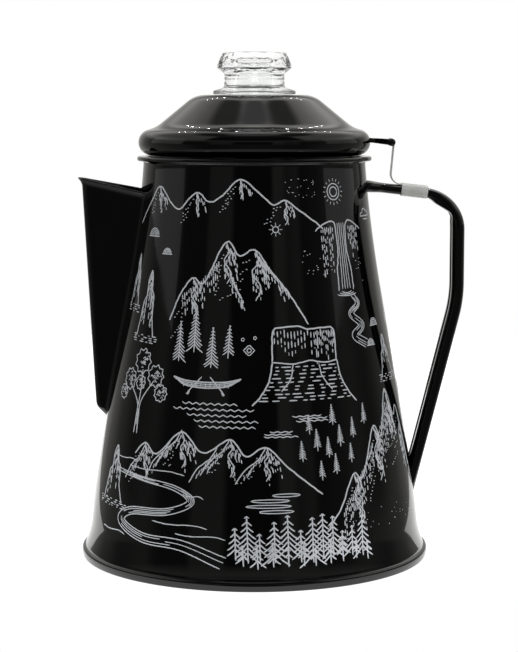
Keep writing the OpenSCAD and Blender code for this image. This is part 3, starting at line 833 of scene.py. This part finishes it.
LID_TOP_Z = 201.3
LID_T = 1.0
BULGE_R = 50.4
BULGE_ROUND = 5.6
BULGE_C = Vector((BULGE_R - BULGE_ROUND, RIM_Z + 6))
SHOULDER_ROUND = 12
SHOULDER_C = Vector((21.4, LID_TOP_Z - SHOULDER_ROUND))
LID_SLOPE = 39.3
LID_FILLET = 2.8
BULGE_FROM = 73
KNOB_HOLE_R = 11.3


def lid_line(inset):
    """The lid's outline from the flat top to the tucked-under edge, moved inwards by inset."""
    slope = math.radians(LID_SLOPE)
    n = Vector((math.sin(slope), math.cos(slope)))
    down = Vector((math.cos(slope), -math.sin(slope)))
    cone_start = SHOULDER_C + n * (SHOULDER_ROUND - inset)
    turn = math.radians(BULGE_FROM)
    top = BULGE_C + heading(turn) * (BULGE_ROUND - inset)
    back = heading(turn + math.pi / 2)
    corner = top + back * ((cone_start - top).dot(n) / back.dot(n))
    cone_end = corner - down * LID_FILLET
    line = arc(*SHOULDER_C, SHOULDER_ROUND - inset, 90, 90 - LID_SLOPE, 16)
    line += [tuple(cone_start.lerp(cone_end, t)) for t in (0.2, 0.4, 0.6, 0.8)]
    line += bow(cone_end, corner, corner - back * LID_FILLET, 12)
    line += arc(*BULGE_C, BULGE_ROUND - inset, BULGE_FROM, -86, 36)
    return line


def lid():
    """The domed lid, with a small raised seat for the knob and a rounded edge."""
    flat = [(KNOB_HOLE_R + 0.35, LID_TOP_Z), (14, LID_TOP_Z), (17.5, LID_TOP_Z)]
    hole = arc(KNOB_HOLE_R + 0.35, LID_TOP_Z - 0.35, 0.35, 180, 90, 4)
    outer = lid_line(0)
    inner = lid_line(LID_T)
    tail = outer[-1]
    tuck = arc((tail[0] + inner[-1][0]) / 2, (tail[1] + inner[-1][1]) / 2, LID_T / 2, -90, -250, 5)[1:-1]
    under = [(17.5, LID_TOP_Z - LID_T), (KNOB_HOLE_R, LID_TOP_Z - LID_T)]
    profile = hole + flat[1:] + outer + tuck + inner[::-1] + under
    shell = lathe("lid_dome", profile, ENAMEL, 256)
    finished(shell, "lid", "lid_shell", crease=55)


# ---------------------------------------------------------------- glass knob

KNOB_R = 16.3
KNOB_TOP_Z = 219.9
KNOB_SHOULDER_R = 14.1
KNOB_NECK_R = 10.9
FLANGE_R = 18.0
NECK_R_OUT = 12.9
WIDEST_Z = 213.5
FLUTES = 12
FLUTE_CUT_R = 12.0
FLUTE_DEPTH = 1.25
CAVITY_R = 8.6
LUGS = 3
LUG_R = (13.3, 10.5)
LUG_HALF_ANGLE = 20


def soft_min(a, b, width):
    """The smaller of a and b, blended over width where they are close."""
    return -width * math.log(math.exp(-a / width) + math.exp(-b / width))


def knob():
    """The pressed glass knob: fluted cap, neck with its mould line, flange, hollow and lugs."""
    foot = LID_TOP_Z - 4.8
    flange_z = LID_TOP_Z + GAP
    lean = math.atan((KNOB_R - KNOB_SHOULDER_R) / (KNOB_TOP_Z - 1 - WIDEST_Z))
    outer = rounded([
        (CAVITY_R, foot, 0.4), (KNOB_NECK_R, foot, 0.5), (KNOB_NECK_R, flange_z, 0.3),
        (FLANGE_R, flange_z, 0.7), (FLANGE_R - 0.1, flange_z + 1.5, 0.9),
        (NECK_R_OUT + 0.35, flange_z + 2.9, 1.4), (NECK_R_OUT, 207.9, 0.3), (NECK_R_OUT + 0.3, 208.35, 0.25),
        (NECK_R_OUT, 208.8, 0.3), (NECK_R_OUT + 0.1, 210.4, 0.9), (KNOB_R - 0.2, WIDEST_Z - 0.6, 1.0),
        (KNOB_R, WIDEST_Z + 0.4, 0.7), (KNOB_SHOULDER_R, KNOB_TOP_Z - 0.5, 1.1), (6, KNOB_TOP_Z, 2),
        (0, KNOB_TOP_Z - 0.02, 0)], 5, closed=False)
    dome = [(0, KNOB_TOP_Z - 4.4), (3.0, KNOB_TOP_Z - 4.6)]
    dome += bow((5.0, KNOB_TOP_Z - 5.0), (7.3, KNOB_TOP_Z - 5.4), (7.6, KNOB_TOP_Z - 8.2), 8)
    cavity = resampled(dome + [(8.2, 206), (CAVITY_R, foot + 1)], 0.9)
    piece = lathe("fluted_glass", [*resampled(outer, 0.3), *cavity], GLASS, FLUTES * 24)
    shift = 1 / math.cos(lean)
    for v in piece.data.vertices:
        x, y, z = v.co / MM
        r = math.hypot(x, y)
        if z < WIDEST_Z - 3 or r < CAVITY_R + 0.5:
            continue
        turn = math.atan2(y, x)
        part = 2 * math.pi / FLUTES
        off = abs((turn + part / 2) % part - part / 2)
        axis_r = KNOB_R - FLUTE_DEPTH + FLUTE_CUT_R * shift - (z - WIDEST_Z) * math.tan(lean)
        cut = axis_r * math.cos(off) - math.sqrt(FLUTE_CUT_R ** 2 - (axis_r * math.sin(off)) ** 2)
        new_r = min(r, soft_min(r, cut, 0.16) + 0.05)
        v.co = (v.co.x * new_r / r, v.co.y * new_r / r, v.co.z)
    lugs = []
    for k in range(LUGS):
        sweep = np.linspace(-LUG_HALF_ANGLE, LUG_HALF_ANGLE, 9)
        rim = [(LUG_R[0], a) for a in sweep] + [(LUG_R[1], -a) for a in sweep]
        rim = [(r, math.radians(a + 360 / LUGS * k)) for r, a in rim]
        lugs.append(skin([[(r * math.cos(a), r * math.sin(a), z) for r, a in rim]
                          for z in (foot + 0.4, LID_TOP_Z - LID_T - GAP)]))
    lugs = joined("lugs", lugs, GLASS, smooth=False)
    with bpy.context.temp_override(active_object=piece, selected_editable_objects=[piece, lugs],
                                   selected_objects=[piece, lugs], object=piece):
        bpy.ops.object.join()
    finished(piece, "knob", "glass_knob", crease=60)

# ---------------------------------------------------------------- printed landscape

LINE_W = 0.56
INK_T = 0.045
strokes = []
hand = random.Random(7)


def draw(at, points, width=LINE_W):
    """A pen stroke. Points are in millimetres from at, which is (degrees from the front, height)."""
    strokes.append((at, [tuple(p) for p in points], width))


def dot(at, x, y, size=0.28):
    """A short dab as long as it is wide."""
    draw(at, [(x - size, y), (x + size, y)], size * 2)


def stipple(at, x0, y0, x1, y1, count):
    """Dots scattered over a box."""
    for _ in range(count):
        dot(at, hand.uniform(x0, x1), hand.uniform(y0, y1), hand.uniform(0.17, 0.26))


def curve(points, steps=6):
    """A smooth line through given points."""
    p = [Vector(q) for q in points]
    p = [p[0] * 2 - p[1]] + p + [p[-1] * 2 - p[-2]]
    out = []
    for a, b, c, d in zip(p, p[1:], p[2:], p[3:]):
        for k in range(steps):
            t = k / steps
            out.append(tuple((b * 2 + (c - a) * t + (a * 2 - b * 5 + c * 4 - d) * t * t
                              + (b * 3 - a - c * 3 + d) * t ** 3) / 2))
    return out + [tuple(p[-2])]


def rough(points, shake=0.15, soft=True):
    """The line through points, redrawn by a slightly unsteady hand."""
    line = resampled(curve(points) if soft else points, 1.6)
    return [(x + hand.uniform(-shake, shake), y + hand.uniform(-shake, shake)) for x, y in line]


def dashes(at, p, q, width=0.52, marks=(1.0, 3.4), gaps=(0.7, 1.8)):
    """A broken line from p to q."""
    p, q = Vector(p), Vector(q)
    length = (q - p).length
    s = hand.uniform(0, 0.8)
    while s < length - 0.5:
        e = min(s + hand.uniform(*marks), length)
        draw(at, [p.lerp(q, s / length), p.lerp(q, e / length)], width)
        s = e + hand.uniform(*gaps)


def hang(at, line, length, gap=1.0, lean=0.1):
    """Broken strokes that hang from a line, as on rock in shadow."""
    for x, y in resampled(line, gap):
        reach = length * hand.uniform(0.25, 1)
        y -= hand.uniform(0.3, 1.3)
        dashes(at, (x, y), (x + lean * reach, y - reach))


def ridge(at, crest, depth=7):
    """Mountains: a crest, and under each peak a spur, with strokes on its right and dots on its left."""
    draw(at, rough(crest), 0.66)
    for a, b, c in zip(crest, crest[1:], crest[2:]):
        if b[1] <= max(a[1], c[1]):
            continue
        x, y = b
        fall = depth * hand.uniform(1.2, 1.7)
        spur = [b, (x + 0.09 * fall, y - 0.25 * fall), (x - 0.04 * fall, y - 0.45 * fall),
                (x + 0.16 * fall, y - 0.75 * fall), (x + 0.05 * fall, y - fall)]
        draw(at, rough(spur), 0.5)
        hang(at, spur[1:4], depth * 0.6, 1.1)
        hang(at, [b, ((x * 2 + c[0] * 3) / 5, (y * 2 + c[1] * 3) / 5)], depth, 0.9, 0.25)
        slope = (Vector(a) - Vector(b)).normalized()
        for k in (1, 2, 3, 4):
            p = Vector(b) + slope * (1 + 1.3 * k) - Vector((0, 0.26 * depth * k))
            for i in range(int(hand.uniform(2, 3 + depth * 0.4))):
                s = p + slope * 1.5 * i
                dot(at, s.x + hand.uniform(-0.4, 0.4), s.y + hand.uniform(-0.4, 0.4))


def fir(at, x, y, height, spread=0.25, pitch=1.3, width=0.52):
    """A fir: chevrons that widen downwards, on a short trunk."""
    rows = int(height / pitch)
    for k in range(rows):
        top = y + height - k * pitch
        for s in (-1, 1):
            half = s * height * spread * ((k + 0.8) / rows) ** 0.75 * hand.uniform(0.8, 1.1)
            draw(at, [(x, top), (x + half * 0.5, top - abs(half) * 0.5), (x + half, top - abs(half) * 0.85)],
                 width)
    draw(at, [(x, y + height), (x, y - 1.4)], width)


def copse(at, trees, spread=0.25, pitch=0.85, width=0.44):
    """A few firs, each (x, y, height)."""
    for x, y, height in trees:
        fir(at, x, y, height, spread, pitch, width)


def forest(at, x0, x1, low, high, step=5.4):
    """A close row of broad firs."""
    x = x0
    while x < x1:
        fir(at, x, hand.uniform(-1, 1), hand.uniform(low, high), 0.38, 2.1, 0.62)
        x += step * hand.uniform(0.8, 1.15)


def mesa(at, w, h):
    """A table rock: cracked cliffs, a ledge under them, and a skirt of broken strata."""
    top, cliff, ledge = w * 0.6, h * 0.45, h * 0.55
    draw(at, rough([(-top, ledge), (-top + 0.6, h - 2), (-top + 1.6, h), (-top * 0.2, h + 0.7),
                    (top * 0.1, h - 0.8), (top - 1.4, h - 0.3), (top - 0.3, h - 2.2), (top, ledge)], 0.15,
                   False), 0.66)
    draw(at, rough([(-top, ledge), (-top * 0.4, ledge - 1), (top * 0.1, ledge + 0.6),
                    (top * 0.6, ledge - 0.8), (top, ledge)], 0.15, False))
    for s in (-1, 1):
        draw(at, rough([(s * top, ledge), (s * (top + w * 0.08), ledge * 0.55), (s * w * 0.86, ledge * 0.16),
                        (s * w, -0.5)]), 0.66)
        draw(at, rough([(s * top * 0.4, ledge - 1), (s * top * 0.5, ledge * 0.6),
                        (s * top * 0.8, ledge * 0.3)]), 0.5)
    hang(at, [(-top + 1.4, h), (top * 0.4, h - 0.5)], cliff, 1.5, 0.0)
    hang(at, [(top * 0.35, h - 0.4), (top - 0.8, h - 0.6)], cliff, 0.8, 0.0)
    y = ledge - 2
    while y > 0.6:
        half = top + (w - top) * (1 - y / ledge) ** 1.7 - 1
        dashes(at, (-half, y), (half, y + 0.2), 0.54, (1.2, 4.6), (0.7, 4.2))
        y -= hand.uniform(1.3, 1.9)


def tower(at, w, h):
    """A tall rock: stepped sides, cracks down its face and rubble at its foot."""
    line = [(-w, 0), (-w * 0.72, h * 0.3), (-w * 0.6, h * 0.52), (-w * 0.3, h * 0.6), (-w * 0.28, h * 0.84),
            (0, h), (w * 0.2, h * 0.86), (w * 0.26, h * 0.7), (w * 0.55, h * 0.62), (w * 0.62, h * 0.3),
            (w, 0)]
    draw(at, rough(line, 0.15, False), 0.6)
    hang(at, line[2:6], h * 0.5, 1.3, 0.0)
    hang(at, line[5:9], h * 0.55, 0.9, 0.0)
    for k in range(4):
        dashes(at, (-w * 1.4, 0.8 - 0.9 * k), (w * 1.5, 0.2 - 0.9 * k), 0.5, (0.8, 3), (0.8, 4))


def falls(at, w, h):
    """A stream that drops off a plateau, between two cliffs, into a pool."""
    for s in (-1, 1):
        draw(at, rough([(s * w * 2.3, h - 3), (s * w * 1.6, h - 0.5), (s * w * 0.9, h + 1), (s * w * 0.5, h),
                        (s * w * 0.42, h * 0.6), (s * w * 0.7, h * 0.3), (s * w * 0.75, 0)], 0.2, False), 0.6)
        hang(at, [(s * w * 0.8, h), (s * w * 1.8, h - 1)], h * 0.75, 1.0, 0.0)
        stipple(at, s * w * 1.1, h * 0.1, s * w * 2, h * 0.5, 8)
    for k in range(4):
        x = w * 0.2 * (k - 1.5)
        draw(at, rough([(x, h), (x, h * 0.5), (x * 1.3, 0.6)], 0.1), 0.4)
    for k in range(3):
        draw(at, [(w * (0.5 + 0.25 * k) * x, -0.6 * k + 1.1 * y) for x, y in arc(0, 0, 1, 200, 340, 10)],
             0.42)


def water(at, rows, length, gap=2.3, swell=0.4):
    """Rows of ripples."""
    for k in range(rows):
        half = length / 2 * hand.uniform(0.6, 1)
        shift = hand.uniform(-0.15, 0.15) * length
        line = [(shift - half + 1.6 * i, -gap * k + swell * (-1) ** i) for i in range(int(half * 1.25) + 2)]
        draw(at, curve(line, 4), 0.46)


def pools(at, rows, length, gap=2.7):
    """Flat water: thin closed shapes of uneven length."""
    for k in range(rows):
        half = length / 2 * hand.uniform(0.35, 1)
        shift = hand.uniform(-0.2, 0.2) * length
        draw(at, [(shift + half * x, -gap * k + 0.6 * y) for x, y in arc(0, 0, 1, 0, 360, 28)], 0.42)


def stream(at, bends, narrow, wide):
    """A winding stream that widens towards the viewer: its banks and the broken lines of the current."""
    p = np.array(curve(bends, 8))
    step = np.gradient(p, axis=0)
    side = np.stack([-step[:, 1], step[:, 0] * 0.7], axis=1) / np.linalg.norm(step, axis=1)[:, None]
    half = np.linspace(narrow, wide, len(p))[:, None] / 2
    for s in (-1, 1):
        draw(at, p + side * half * s, 0.44)
    for s in (-0.45, 0.1, 0.5):
        line = p + side * half * s
        k = hand.randrange(6)
        while k < len(line) - 4:
            run = hand.randrange(6, 16)
            draw(at, line[k:k + run], 0.34)
            k += run + hand.randrange(3, 9)


def boat(at, w):
    """A rowing boat with planks, ribs and a pair of oars."""
    for k in range(4):
        t = k / 3
        reach = w * (1 - 0.12 * t * t)
        draw(at, curve([(-reach, 3.4 - 1.2 * t), (-w * 0.6, 2.1 - 1.9 * t), (0, 1.7 - 2.3 * t),
                        (w * 0.6, 2.1 - 1.9 * t), (reach, 3.4 - 1.2 * t)]), 0.6 if k in (0, 3) else 0.42)
    for s in (-1, 1):
        draw(at, [(s * w, 3.4), (s * w * 0.88, 2.2)], 0.6)
        draw(at, [(s * w * 0.12, 3.9), (s * w * 0.5, -2.2), (s * w * 0.56, -3.4)], 0.5)
        draw(at, [(s * w * 0.47, -2.0), (s * w * 0.53, -3.6)], 0.8)
    for k in range(-5, 6):
        draw(at, [(k * w * 0.14, 1.4), (k * w * 0.13, -0.3)], 0.36)


def camp(at, w):
    """A ridge tent with an open door, and a fire beside it."""
    h = w * 0.85
    draw(at, [(-w, 0), (-w * 0.25, h), (w * 0.5, 0), (-w, 0)])
    draw(at, [(-w * 0.25, h), (w * 0.75, h * 0.92), (w * 1.35, 0), (w * 0.5, 0)])
    draw(at, [(-w * 0.52, 0), (-w * 0.25, h * 0.62), (-w * 0.02, 0)])
    draw(at, [(-w * 1.45, -0.6), (w * 1.8, -0.6)], 0.5)
    x = -w * 1.9
    draw(at, curve([(x - 1.5, 0.2), (x - 1.7, 2.2), (x - 0.5, 3.4), (x - 0.3, 5.2), (x + 0.9, 3.4),
                    (x + 1.3, 0.2)]))
    draw(at, [(x - 2.4, -0.5), (x + 2.2, 0.5)])


def leafy(at, h):
    """A broad tree: forked trunk and clumps of leaves."""
    for line in (((-1.0, 0), (-0.7, h * 0.2), (-1.1, h * 0.38), (-h * 0.24, h * 0.6)),
                 ((1.1, 0), (0.8, h * 0.2), (1.2, h * 0.4), (h * 0.22, h * 0.66)),
                 ((-0.3, h * 0.34), (0.1, h * 0.52), (-0.3, h * 0.78)), ((0, h * 0.1), (0.2, h * 0.3))):
        draw(at, curve(line))
    for x, y, r in ((-0.26, 0.64, 0.13), (0.24, 0.72, 0.13), (-0.03, 0.88, 0.15), (-0.38, 0.47, 0.09),
                    (0.36, 0.52, 0.10), (-0.02, 0.62, 0.09)):
        ring = [(h * (x + r * (1.1 - 0.25 * (k % 2)) * math.cos(k * math.pi / 9)),
                 h * (y + r * (1.1 - 0.25 * (k % 2)) * math.sin(k * math.pi / 9))) for k in range(19)]
        draw(at, curve(ring, 3), 0.48)
        for k in range(int(h * r * 4)):
            a, s = hand.uniform(0, 6.28), h * r * hand.uniform(0.1, 0.7)
            px, py = h * x + s * math.cos(a), h * y + s * math.sin(a)
            draw(at, [(px, py), (px + 0.7, py + 0.6), (px + 1.3, py)], 0.42)


def sun(at, r, rays=16):
    """One ring or two, with short rays."""
    for size in (r, r * 0.6) if r > 2 else (r,):
        draw(at, arc(0, 0, size, 0, 360, 28), 0.48)
    for (x, y), (u, v) in zip(arc(0, 0, r * 1.3, 0, 360, rays), arc(0, 0, r * 1.3 + 1.1, 0, 360, rays)):
        draw(at, [(x, y), (u, v)], 0.46)


def gems(at):
    """A small diamond in a larger one, under two rings."""
    for size in (2.3, 1.1):
        draw(at, [(size, 0), (0, size), (-size, 0), (0, -size), (size, 0)], 0.46)
    for x, y in ((-2.6, 4.4), (2.4, 5.0)):
        draw(at, arc(x, y, 0.7, 0, 360, 12), 0.42)


def hills(at, r):
    """Nested half rings, as a far hill."""
    for k in range(4):
        draw(at, arc(0, 0, r * (1 - 0.23 * k), 4, 176, 14), 0.44)
    draw(at, [(-r - 0.7, 0), (r + 0.7, 0)], 0.44)


def cloud(at, w):
    """A flat-bottomed cloud on two lines."""
    draw(at, curve([(-w, 0), (-w * 0.95, w * 0.22), (-w * 0.55, w * 0.3), (-w * 0.4, w * 0.55), (0, w * 0.62),
                    (w * 0.3, w * 0.42), (w * 0.62, w * 0.42), (w * 0.85, w * 0.18), (w, 0)]), 0.5)
    draw(at, [(-w * 1.1, 0), (w * 1.15, 0)], 0.5)
    draw(at, [(-w * 0.5, -1.4), (w * 0.7, -1.4)], 0.5)


def front():
    """The scenery between the spout and the handle."""
    ridge((-22, 153), [(-43, -6), (-35, 2), (-27, 10), (-19, 3), (-14, 1), (-6, 8), (0, 4), (6, 7),
                       (13, 13.5), (21, 8), (27, 3), (32, 5), (38, 1), (50, -7)], 6)
    stipple((24, 163), -8, -4, 6, 4, 24)
    sun((42, 161), 3.4)
    sun((10, 146), 1.3, 8)
    hills((-55, 142), 3.4)
    hills((-44, 135), 2.4)
    gems((-2, 97))
    ridge((-14, 112), [(-24, -4), (-19, 7), (-13, 14), (-8, 12), (1, 29), (7, 23), (13, 26), (20, 17),
                       (27, 9), (37, -5)], 13)
    hang((-14, 112), [(-18, 8), (-10, 13), (-2, 22)], 11, 1.2)
    hang((-14, 112), [(15, 24), (27, 10)], 9, 1.2, 0.3)
    hang((-14, 112), [(3, 18), (9, 6)], 8, 1.0, 0.2)
    copse((-22, 94), [(-10, -1, 15), (-3, 3, 17), (5, -3, 15), (12, 1, 12)], 0.22, 1.25, 0.52)
    boat((-19, 82), 15)
    water((-15, 75), 5, 36)
    mesa((21, 75), 24, 31)
    falls((45, 120), 6, 28)
    stipple((29, 136), -7, -12, 5, 3, 18)
    stream((48, 112), [(0, 6), (3, 2), (-2, -2), (4, -7), (-1, -11), (6, -15)], 2, 5)
    hills((62, 104), 3)
    hills((57, 96), 2.6)
    tower((69, 82), 7, 18)
    water((20, 70), 3, 14, 1.0, 0.25)
    water((10, 64), 3, 13, 1.0, 0.25)
    copse((32, 58), [(-17, -5, 7), (-10, -1, 7.5), (-5, -4, 7), (1, 0, 7.5), (8, 3, 7), (-13, 6, 6.5),
                     (-2, 9, 7), (15, 8, 7), (-9, -13, 6.5), (-2, -11, 7), (6, -7, 6.5)])
    ridge((-14, 44), [(-40, 8), (-34, 13), (-27, 9), (-15, 19), (-5, 11), (6, 17), (13, 10), (21, 14),
                      (30, 6), (46, -6)], 9)
    for x, y in ((-34, 12), (-20, 16), (-15, 20), (1, 14), (6, 17), (21, 14)):
        draw((-14, 44), rough([(x, y), (x - 3, y - 5), (x - 8, y - 9), (x - 12, y - 15)]), 0.5)
        hang((-14, 44), [(x, y - 1), (x - 8, y - 10)], 5, 1.3, -0.3)
    pools((8, 38.5), 4, 20, 2.2)
    stream((-36, 34), [(-26, 10), (-8, 8), (9, 6), (17, 1), (6, -4), (-14, -6), (-20, -11), (-6, -16),
                       (14, -17), (33, -23)], 1.6, 6.5)
    for x, y, length in ((-2, 12, 30), (12, -9, 26), (22, -13, 22), (-20, 15, 16), (-26, -16, 18),
                         (18, 3, 9)):
        draw((-36, 34), rough([(x - length / 2, y + 0.6), (x - length / 6, y), (x + length / 4, y + 0.5),
                               (x + length / 2, y - 0.6)], 0.1), 0.42)
    tower((-60, 30), 8, 24)
    leafy((-50, 60), 34)
    tower((-53, 100), 6, 28)
    tower((-66, 112), 4, 22)
    ridge((50, 27), [(-30, -3), (-23, 5), (-15, 18), (-10, 16), (0, 36), (5, 31), (13, 50), (19, 38),
                     (24, 41), (33, 14), (40, 2)], 15)
    hang((50, 27), [(-22, 4), (-2, 30)], 12, 1.5, -0.05)
    hang((50, 27), [(2, 32), (12, 46)], 20, 1.3, 0.0)
    stipple((50, 27), -20, -6, 30, 4, 30)
    forest((17, 13), -29, 32, 9, 18)
    forest((17, 11), -26, 30, 5, 9, 6)
    cloud((69, 150), 5)


def vista(turn, sky, rocks, shore):
    """Scenery for the sides and the back, about 40 degrees wide."""
    def high(low, top):
        return hand.uniform(low, top)

    ridge((turn, 150), [(-17, -4), (-9, high(5, 10)), (-3, 3), (6, high(9, 14)), (12, 3), (19, -5)], 6)
    sky((turn + high(-9, 9), 136), 3.2)
    gems((turn + high(8, 14), 128))
    rocks((turn - 6, 100), 9, high(22, 28))
    copse((turn + 9, 97), [(-4, 0, high(12, 15)), (2, 2, high(14, 18)), (8, -1, high(11, 14))], 0.2, 1.05,
          0.52)
    shore((turn + 2, 88), 6)
    water((turn, 82), 4, 30)
    copse((turn + 6, 66), [(-8, 0, 7), (-1, 3, 7.5), (6, -1, 7), (13, 3, 7)])
    ridge((turn, 44), [(-27, -3), (-18, high(10, 15)), (-11, 6), (-1, high(16, 22)), (8, 9),
                       (15, high(13, 18)), (27, -3)], 8)
    pools((turn, 37), 4, 30)
    forest((turn, 11), -21, 19, 9, 17)


def ink_mesh():
    """All the strokes as raised ink, mapped round the wall."""
    verts, faces = [], []
    for at, points, width in strokes:
        p = resampled(points, 0.9)
        step = np.gradient(p, axis=0)
        step /= np.maximum(np.linalg.norm(step, axis=1), 1e-9)[:, None]
        first = len(verts)
        for i, ((x, y), (dx, dy)) in enumerate(zip(p, step)):
            half = width / 2 * (0.62 if i in (0, len(p) - 1) else 1)
            for s, lift in ((-1, -0.02), (-0.86, INK_T), (0.86, INK_T), (1, -0.02)):
                z = at[1] + y + dx * half * s
                r = side_r(z)
                a = math.radians(at[0] - 90) + (x - dy * half * s) / r
                verts.append(((r + lift) * math.cos(a), (r + lift) * math.sin(a), z))
        faces += [tuple(first + i for i in f) for f in grid_faces(len(p), 4)]
        last = len(verts) - 4
        faces += [(first, first + 1, first + 2, first + 3), (last + 3, last + 2, last + 1, last)]
    return verts, faces


def printed():
    """The landscape all the way round the pot, as one piece of ink."""
    front()
    vista(112, cloud, tower, camp)
    vista(151, hills, falls, boat)
    vista(190, sun, mesa, camp)
    vista(229, cloud, tower, boat)
    ridge((86, 70), [(-8, -4), (-3, 8), (1, 4), (5, 11), (10, -4)], 5)
    copse((85, 104), [(-4, 0, 11), (2, 2, 12), (7, -2, 10)], 0.2, 1.05, 0.52)
    ridge((263, 24), [(-18, -3), (-9, 15), (-2, 7), (7, 20), (16, -3)], 6)
    verts, faces = ink_mesh()
    finished(mesh_object("printed_landscape", verts, faces, PRINT, smooth=False), "pot")


# ---------------------------------------------------------------- everything together

pot_wall()
base()
spout()
handle()
ferrule()
leaf()
hinge_tab()
pin()
lid()
knob()
printed()

FINISHES = {
    "lid_collar": ENAMEL,
    "pump_tube": ALUMINIUM, "pump_bell": ALUMINIUM, "valve_stop": ALUMINIUM, "stem_collar": ALUMINIUM,
    "valve_washer": STEEL, "basket_cup": ALUMINIUM, "basket_guide": ALUMINIUM, "spreader_plate": ALUMINIUM,
}
for node, material in FINISHES.items():
    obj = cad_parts[node]
    for slot in obj.material_slots:
        slot.material = material

# ---------------------------------------------------------------- floor, camera and light

paper = mesh_object("floor", [(-135, -86, 0), (135, -86, 0), (300, 800, 0), (-300, 800, 0)],
                    [(0, 1, 2, 3)], floor_material(), smooth=False)

CAMERA_PLACE = (0.002, -0.827, 0.196)
CAMERA_DIP = 6.6
LAMPS = 13
LAMP_PITCH = 0.055
LAMP_SIZE = 0.008

scene = bpy.context.scene
lens = bpy.data.cameras.new("camera")
lens.sensor_width = 36
lens.lens = 104.4
lens.clip_start = 0.05
camera = bpy.data.objects.new("camera", lens)
camera.location = CAMERA_PLACE
camera.rotation_euler = (math.radians(90 - CAMERA_DIP), 0, 0)
scene.collection.objects.link(camera)
scene.camera = camera


def studio():
    """Soft light from walls behind and at both sides, dark where the camera stands, on a white backdrop."""
    world = bpy.data.worlds.new("studio")
    world.use_nodes = True
    scene.world = world
    tree = world.node_tree
    where = add(tree, "ShaderNodeTexCoord")
    parts = tree.nodes.new("ShaderNodeSeparateXYZ")
    tree.links.new(where.outputs["Generated"], parts.inputs[0])
    flip = add(tree, "ShaderNodeMath", operation="MULTIPLY")
    flip.inputs[1].default_value = -1
    tree.links.new(parts.outputs["Y"], flip.inputs[0])
    turn = add(tree, "ShaderNodeMath", operation="ARCTAN2")
    tree.links.new(parts.outputs["X"], turn.inputs[0])
    tree.links.new(flip.outputs[0], turn.inputs[1])
    around = ramp(tree, turn.outputs[0], -math.pi, math.pi)

    def walls(*stops):
        """Brightness by degrees from the front, towards the handle. Stops from 0 serve both sides."""
        if stops[0][0] == 0:
            stops = [(-degrees, level) for degrees, level in stops[:0:-1]] + list(stops)
        node = tree.nodes.new("ShaderNodeValToRGB")
        node.color_ramp.interpolation = "EASE"
        places = node.color_ramp.elements
        places[1].position = 1
        for degrees, _ in stops[1:-1]:
            places.new((degrees + 180) / 360)
        for (_, level), stop in zip(stops, places):
            stop.color = (level, level * 0.985, level * 0.95, 1)
        tree.links.new(around, node.inputs["Fac"])
        return node.outputs["Color"]

    below = walls((-180, 0.6), (-152, 0.4), (-138, 0.26), (-122, 0.18), (-82, 0.14), (-50, 0.05), (0, 0.08),
                  (50, 0.06), (82, 0.14), (122, 0.18), (138, 0.26), (152, 0.4), (180, 0.6))
    level = walls((-180, 0.75), (-152, 0.45), (-138, 0.28), (-122, 0.16), (-102, 0.08), (-82, 0.13),
                  (-68, 0.05), (-48, 0.05), (-43, 0.14), (-24, 0.15), (-18, 0.03), (16, 0.03), (20, 0.18),
                  (27, 0.17), (32, 0.10), (42, 0.13), (48, 0.05), (62, 0.07), (82, 0.14), (102, 0.08),
                  (122, 0.16), (138, 0.28), (152, 0.45), (180, 0.75))
    middle = walls((0, 0.22), (45, 0.22), (80, 0.35), (130, 0.8), (154, 1.0), (168, 0.4), (180, 0.3))
    upper = walls((-180, 0.08), (-172, 0.12), (-160, 1.2), (-146, 0.9), (-130, 0.5), (-60, 0.6), (-48, 0.03),
                  (48, 0.03), (60, 0.7), (130, 0.6), (146, 1.2), (160, 1.5), (172, 0.12), (180, 0.08))
    high = walls((0, 0.10), (120, 0.10), (142, 0.25), (158, 1.5), (180, 2.0))
    seen = (0.38, 0.38, 0.38)
    for low, full, look in ((-0.75, -0.6, below), (-0.07, -0.02, level), (0.24, 0.40, middle),
                            (0.42, 0.55, upper), (0.83, 0.88, high), (0.96, 0.975, (0.54, 0.54, 0.54))):
        seen = mixed(tree, ramp(tree, parts.outputs["Z"], low, full), seen, look)
    path = tree.nodes.new("ShaderNodeLightPath")
    straight = add(tree, "ShaderNodeMath", operation="MAXIMUM")
    tree.links.new(path.outputs["Is Camera Ray"], straight.inputs[0])
    tree.links.new(path.outputs["Is Transmission Ray"], straight.inputs[1])
    shown_colour = mixed(tree, straight.outputs[0], seen, (1, 1, 1))
    tree.links.new(shown_colour, tree.nodes["Background"].inputs["Color"])


def panel(name, place, aim, width, height, power, mirrored):
    """A soft panel light. One that isn't mirrored lights the print but makes no highlight on the enamel."""
    light = bpy.data.lights.new(name, "AREA")
    light.shape = "RECTANGLE"
    light.size, light.size_y, light.energy = width, height, power
    obj = bpy.data.objects.new(name, light)
    obj.location = place
    obj.rotation_euler = (Vector(aim) - Vector(place)).to_track_quat("-Z", "Y").to_euler()
    obj.visible_camera = False
    obj.visible_glossy = mirrored
    scene.collection.objects.link(obj)


panel("front_fill", (0.15, -1.5, 1.1), (0, 0, 0.1), 0.8, 0.8, 11, False)
panel("left_panel", (-0.5, 0.05, 0.34), (0, 0.05, 0.34), 0.43, 0.32, 0.12, True)
panel("right_panel", (0.5, 0.05, 0.34), (0, 0.05, 0.34), 0.43, 0.32, 0.12, True)
for k in range(LAMPS):
    place = (LAMP_PITCH * (k - LAMPS // 2), 0.6, 0.8)
    panel("lamp_%d" % k, place, (0, 0, 0.19), LAMP_SIZE, LAMP_SIZE, 0.035, True)
studio()
scene.view_settings.view_transform = "Standard"
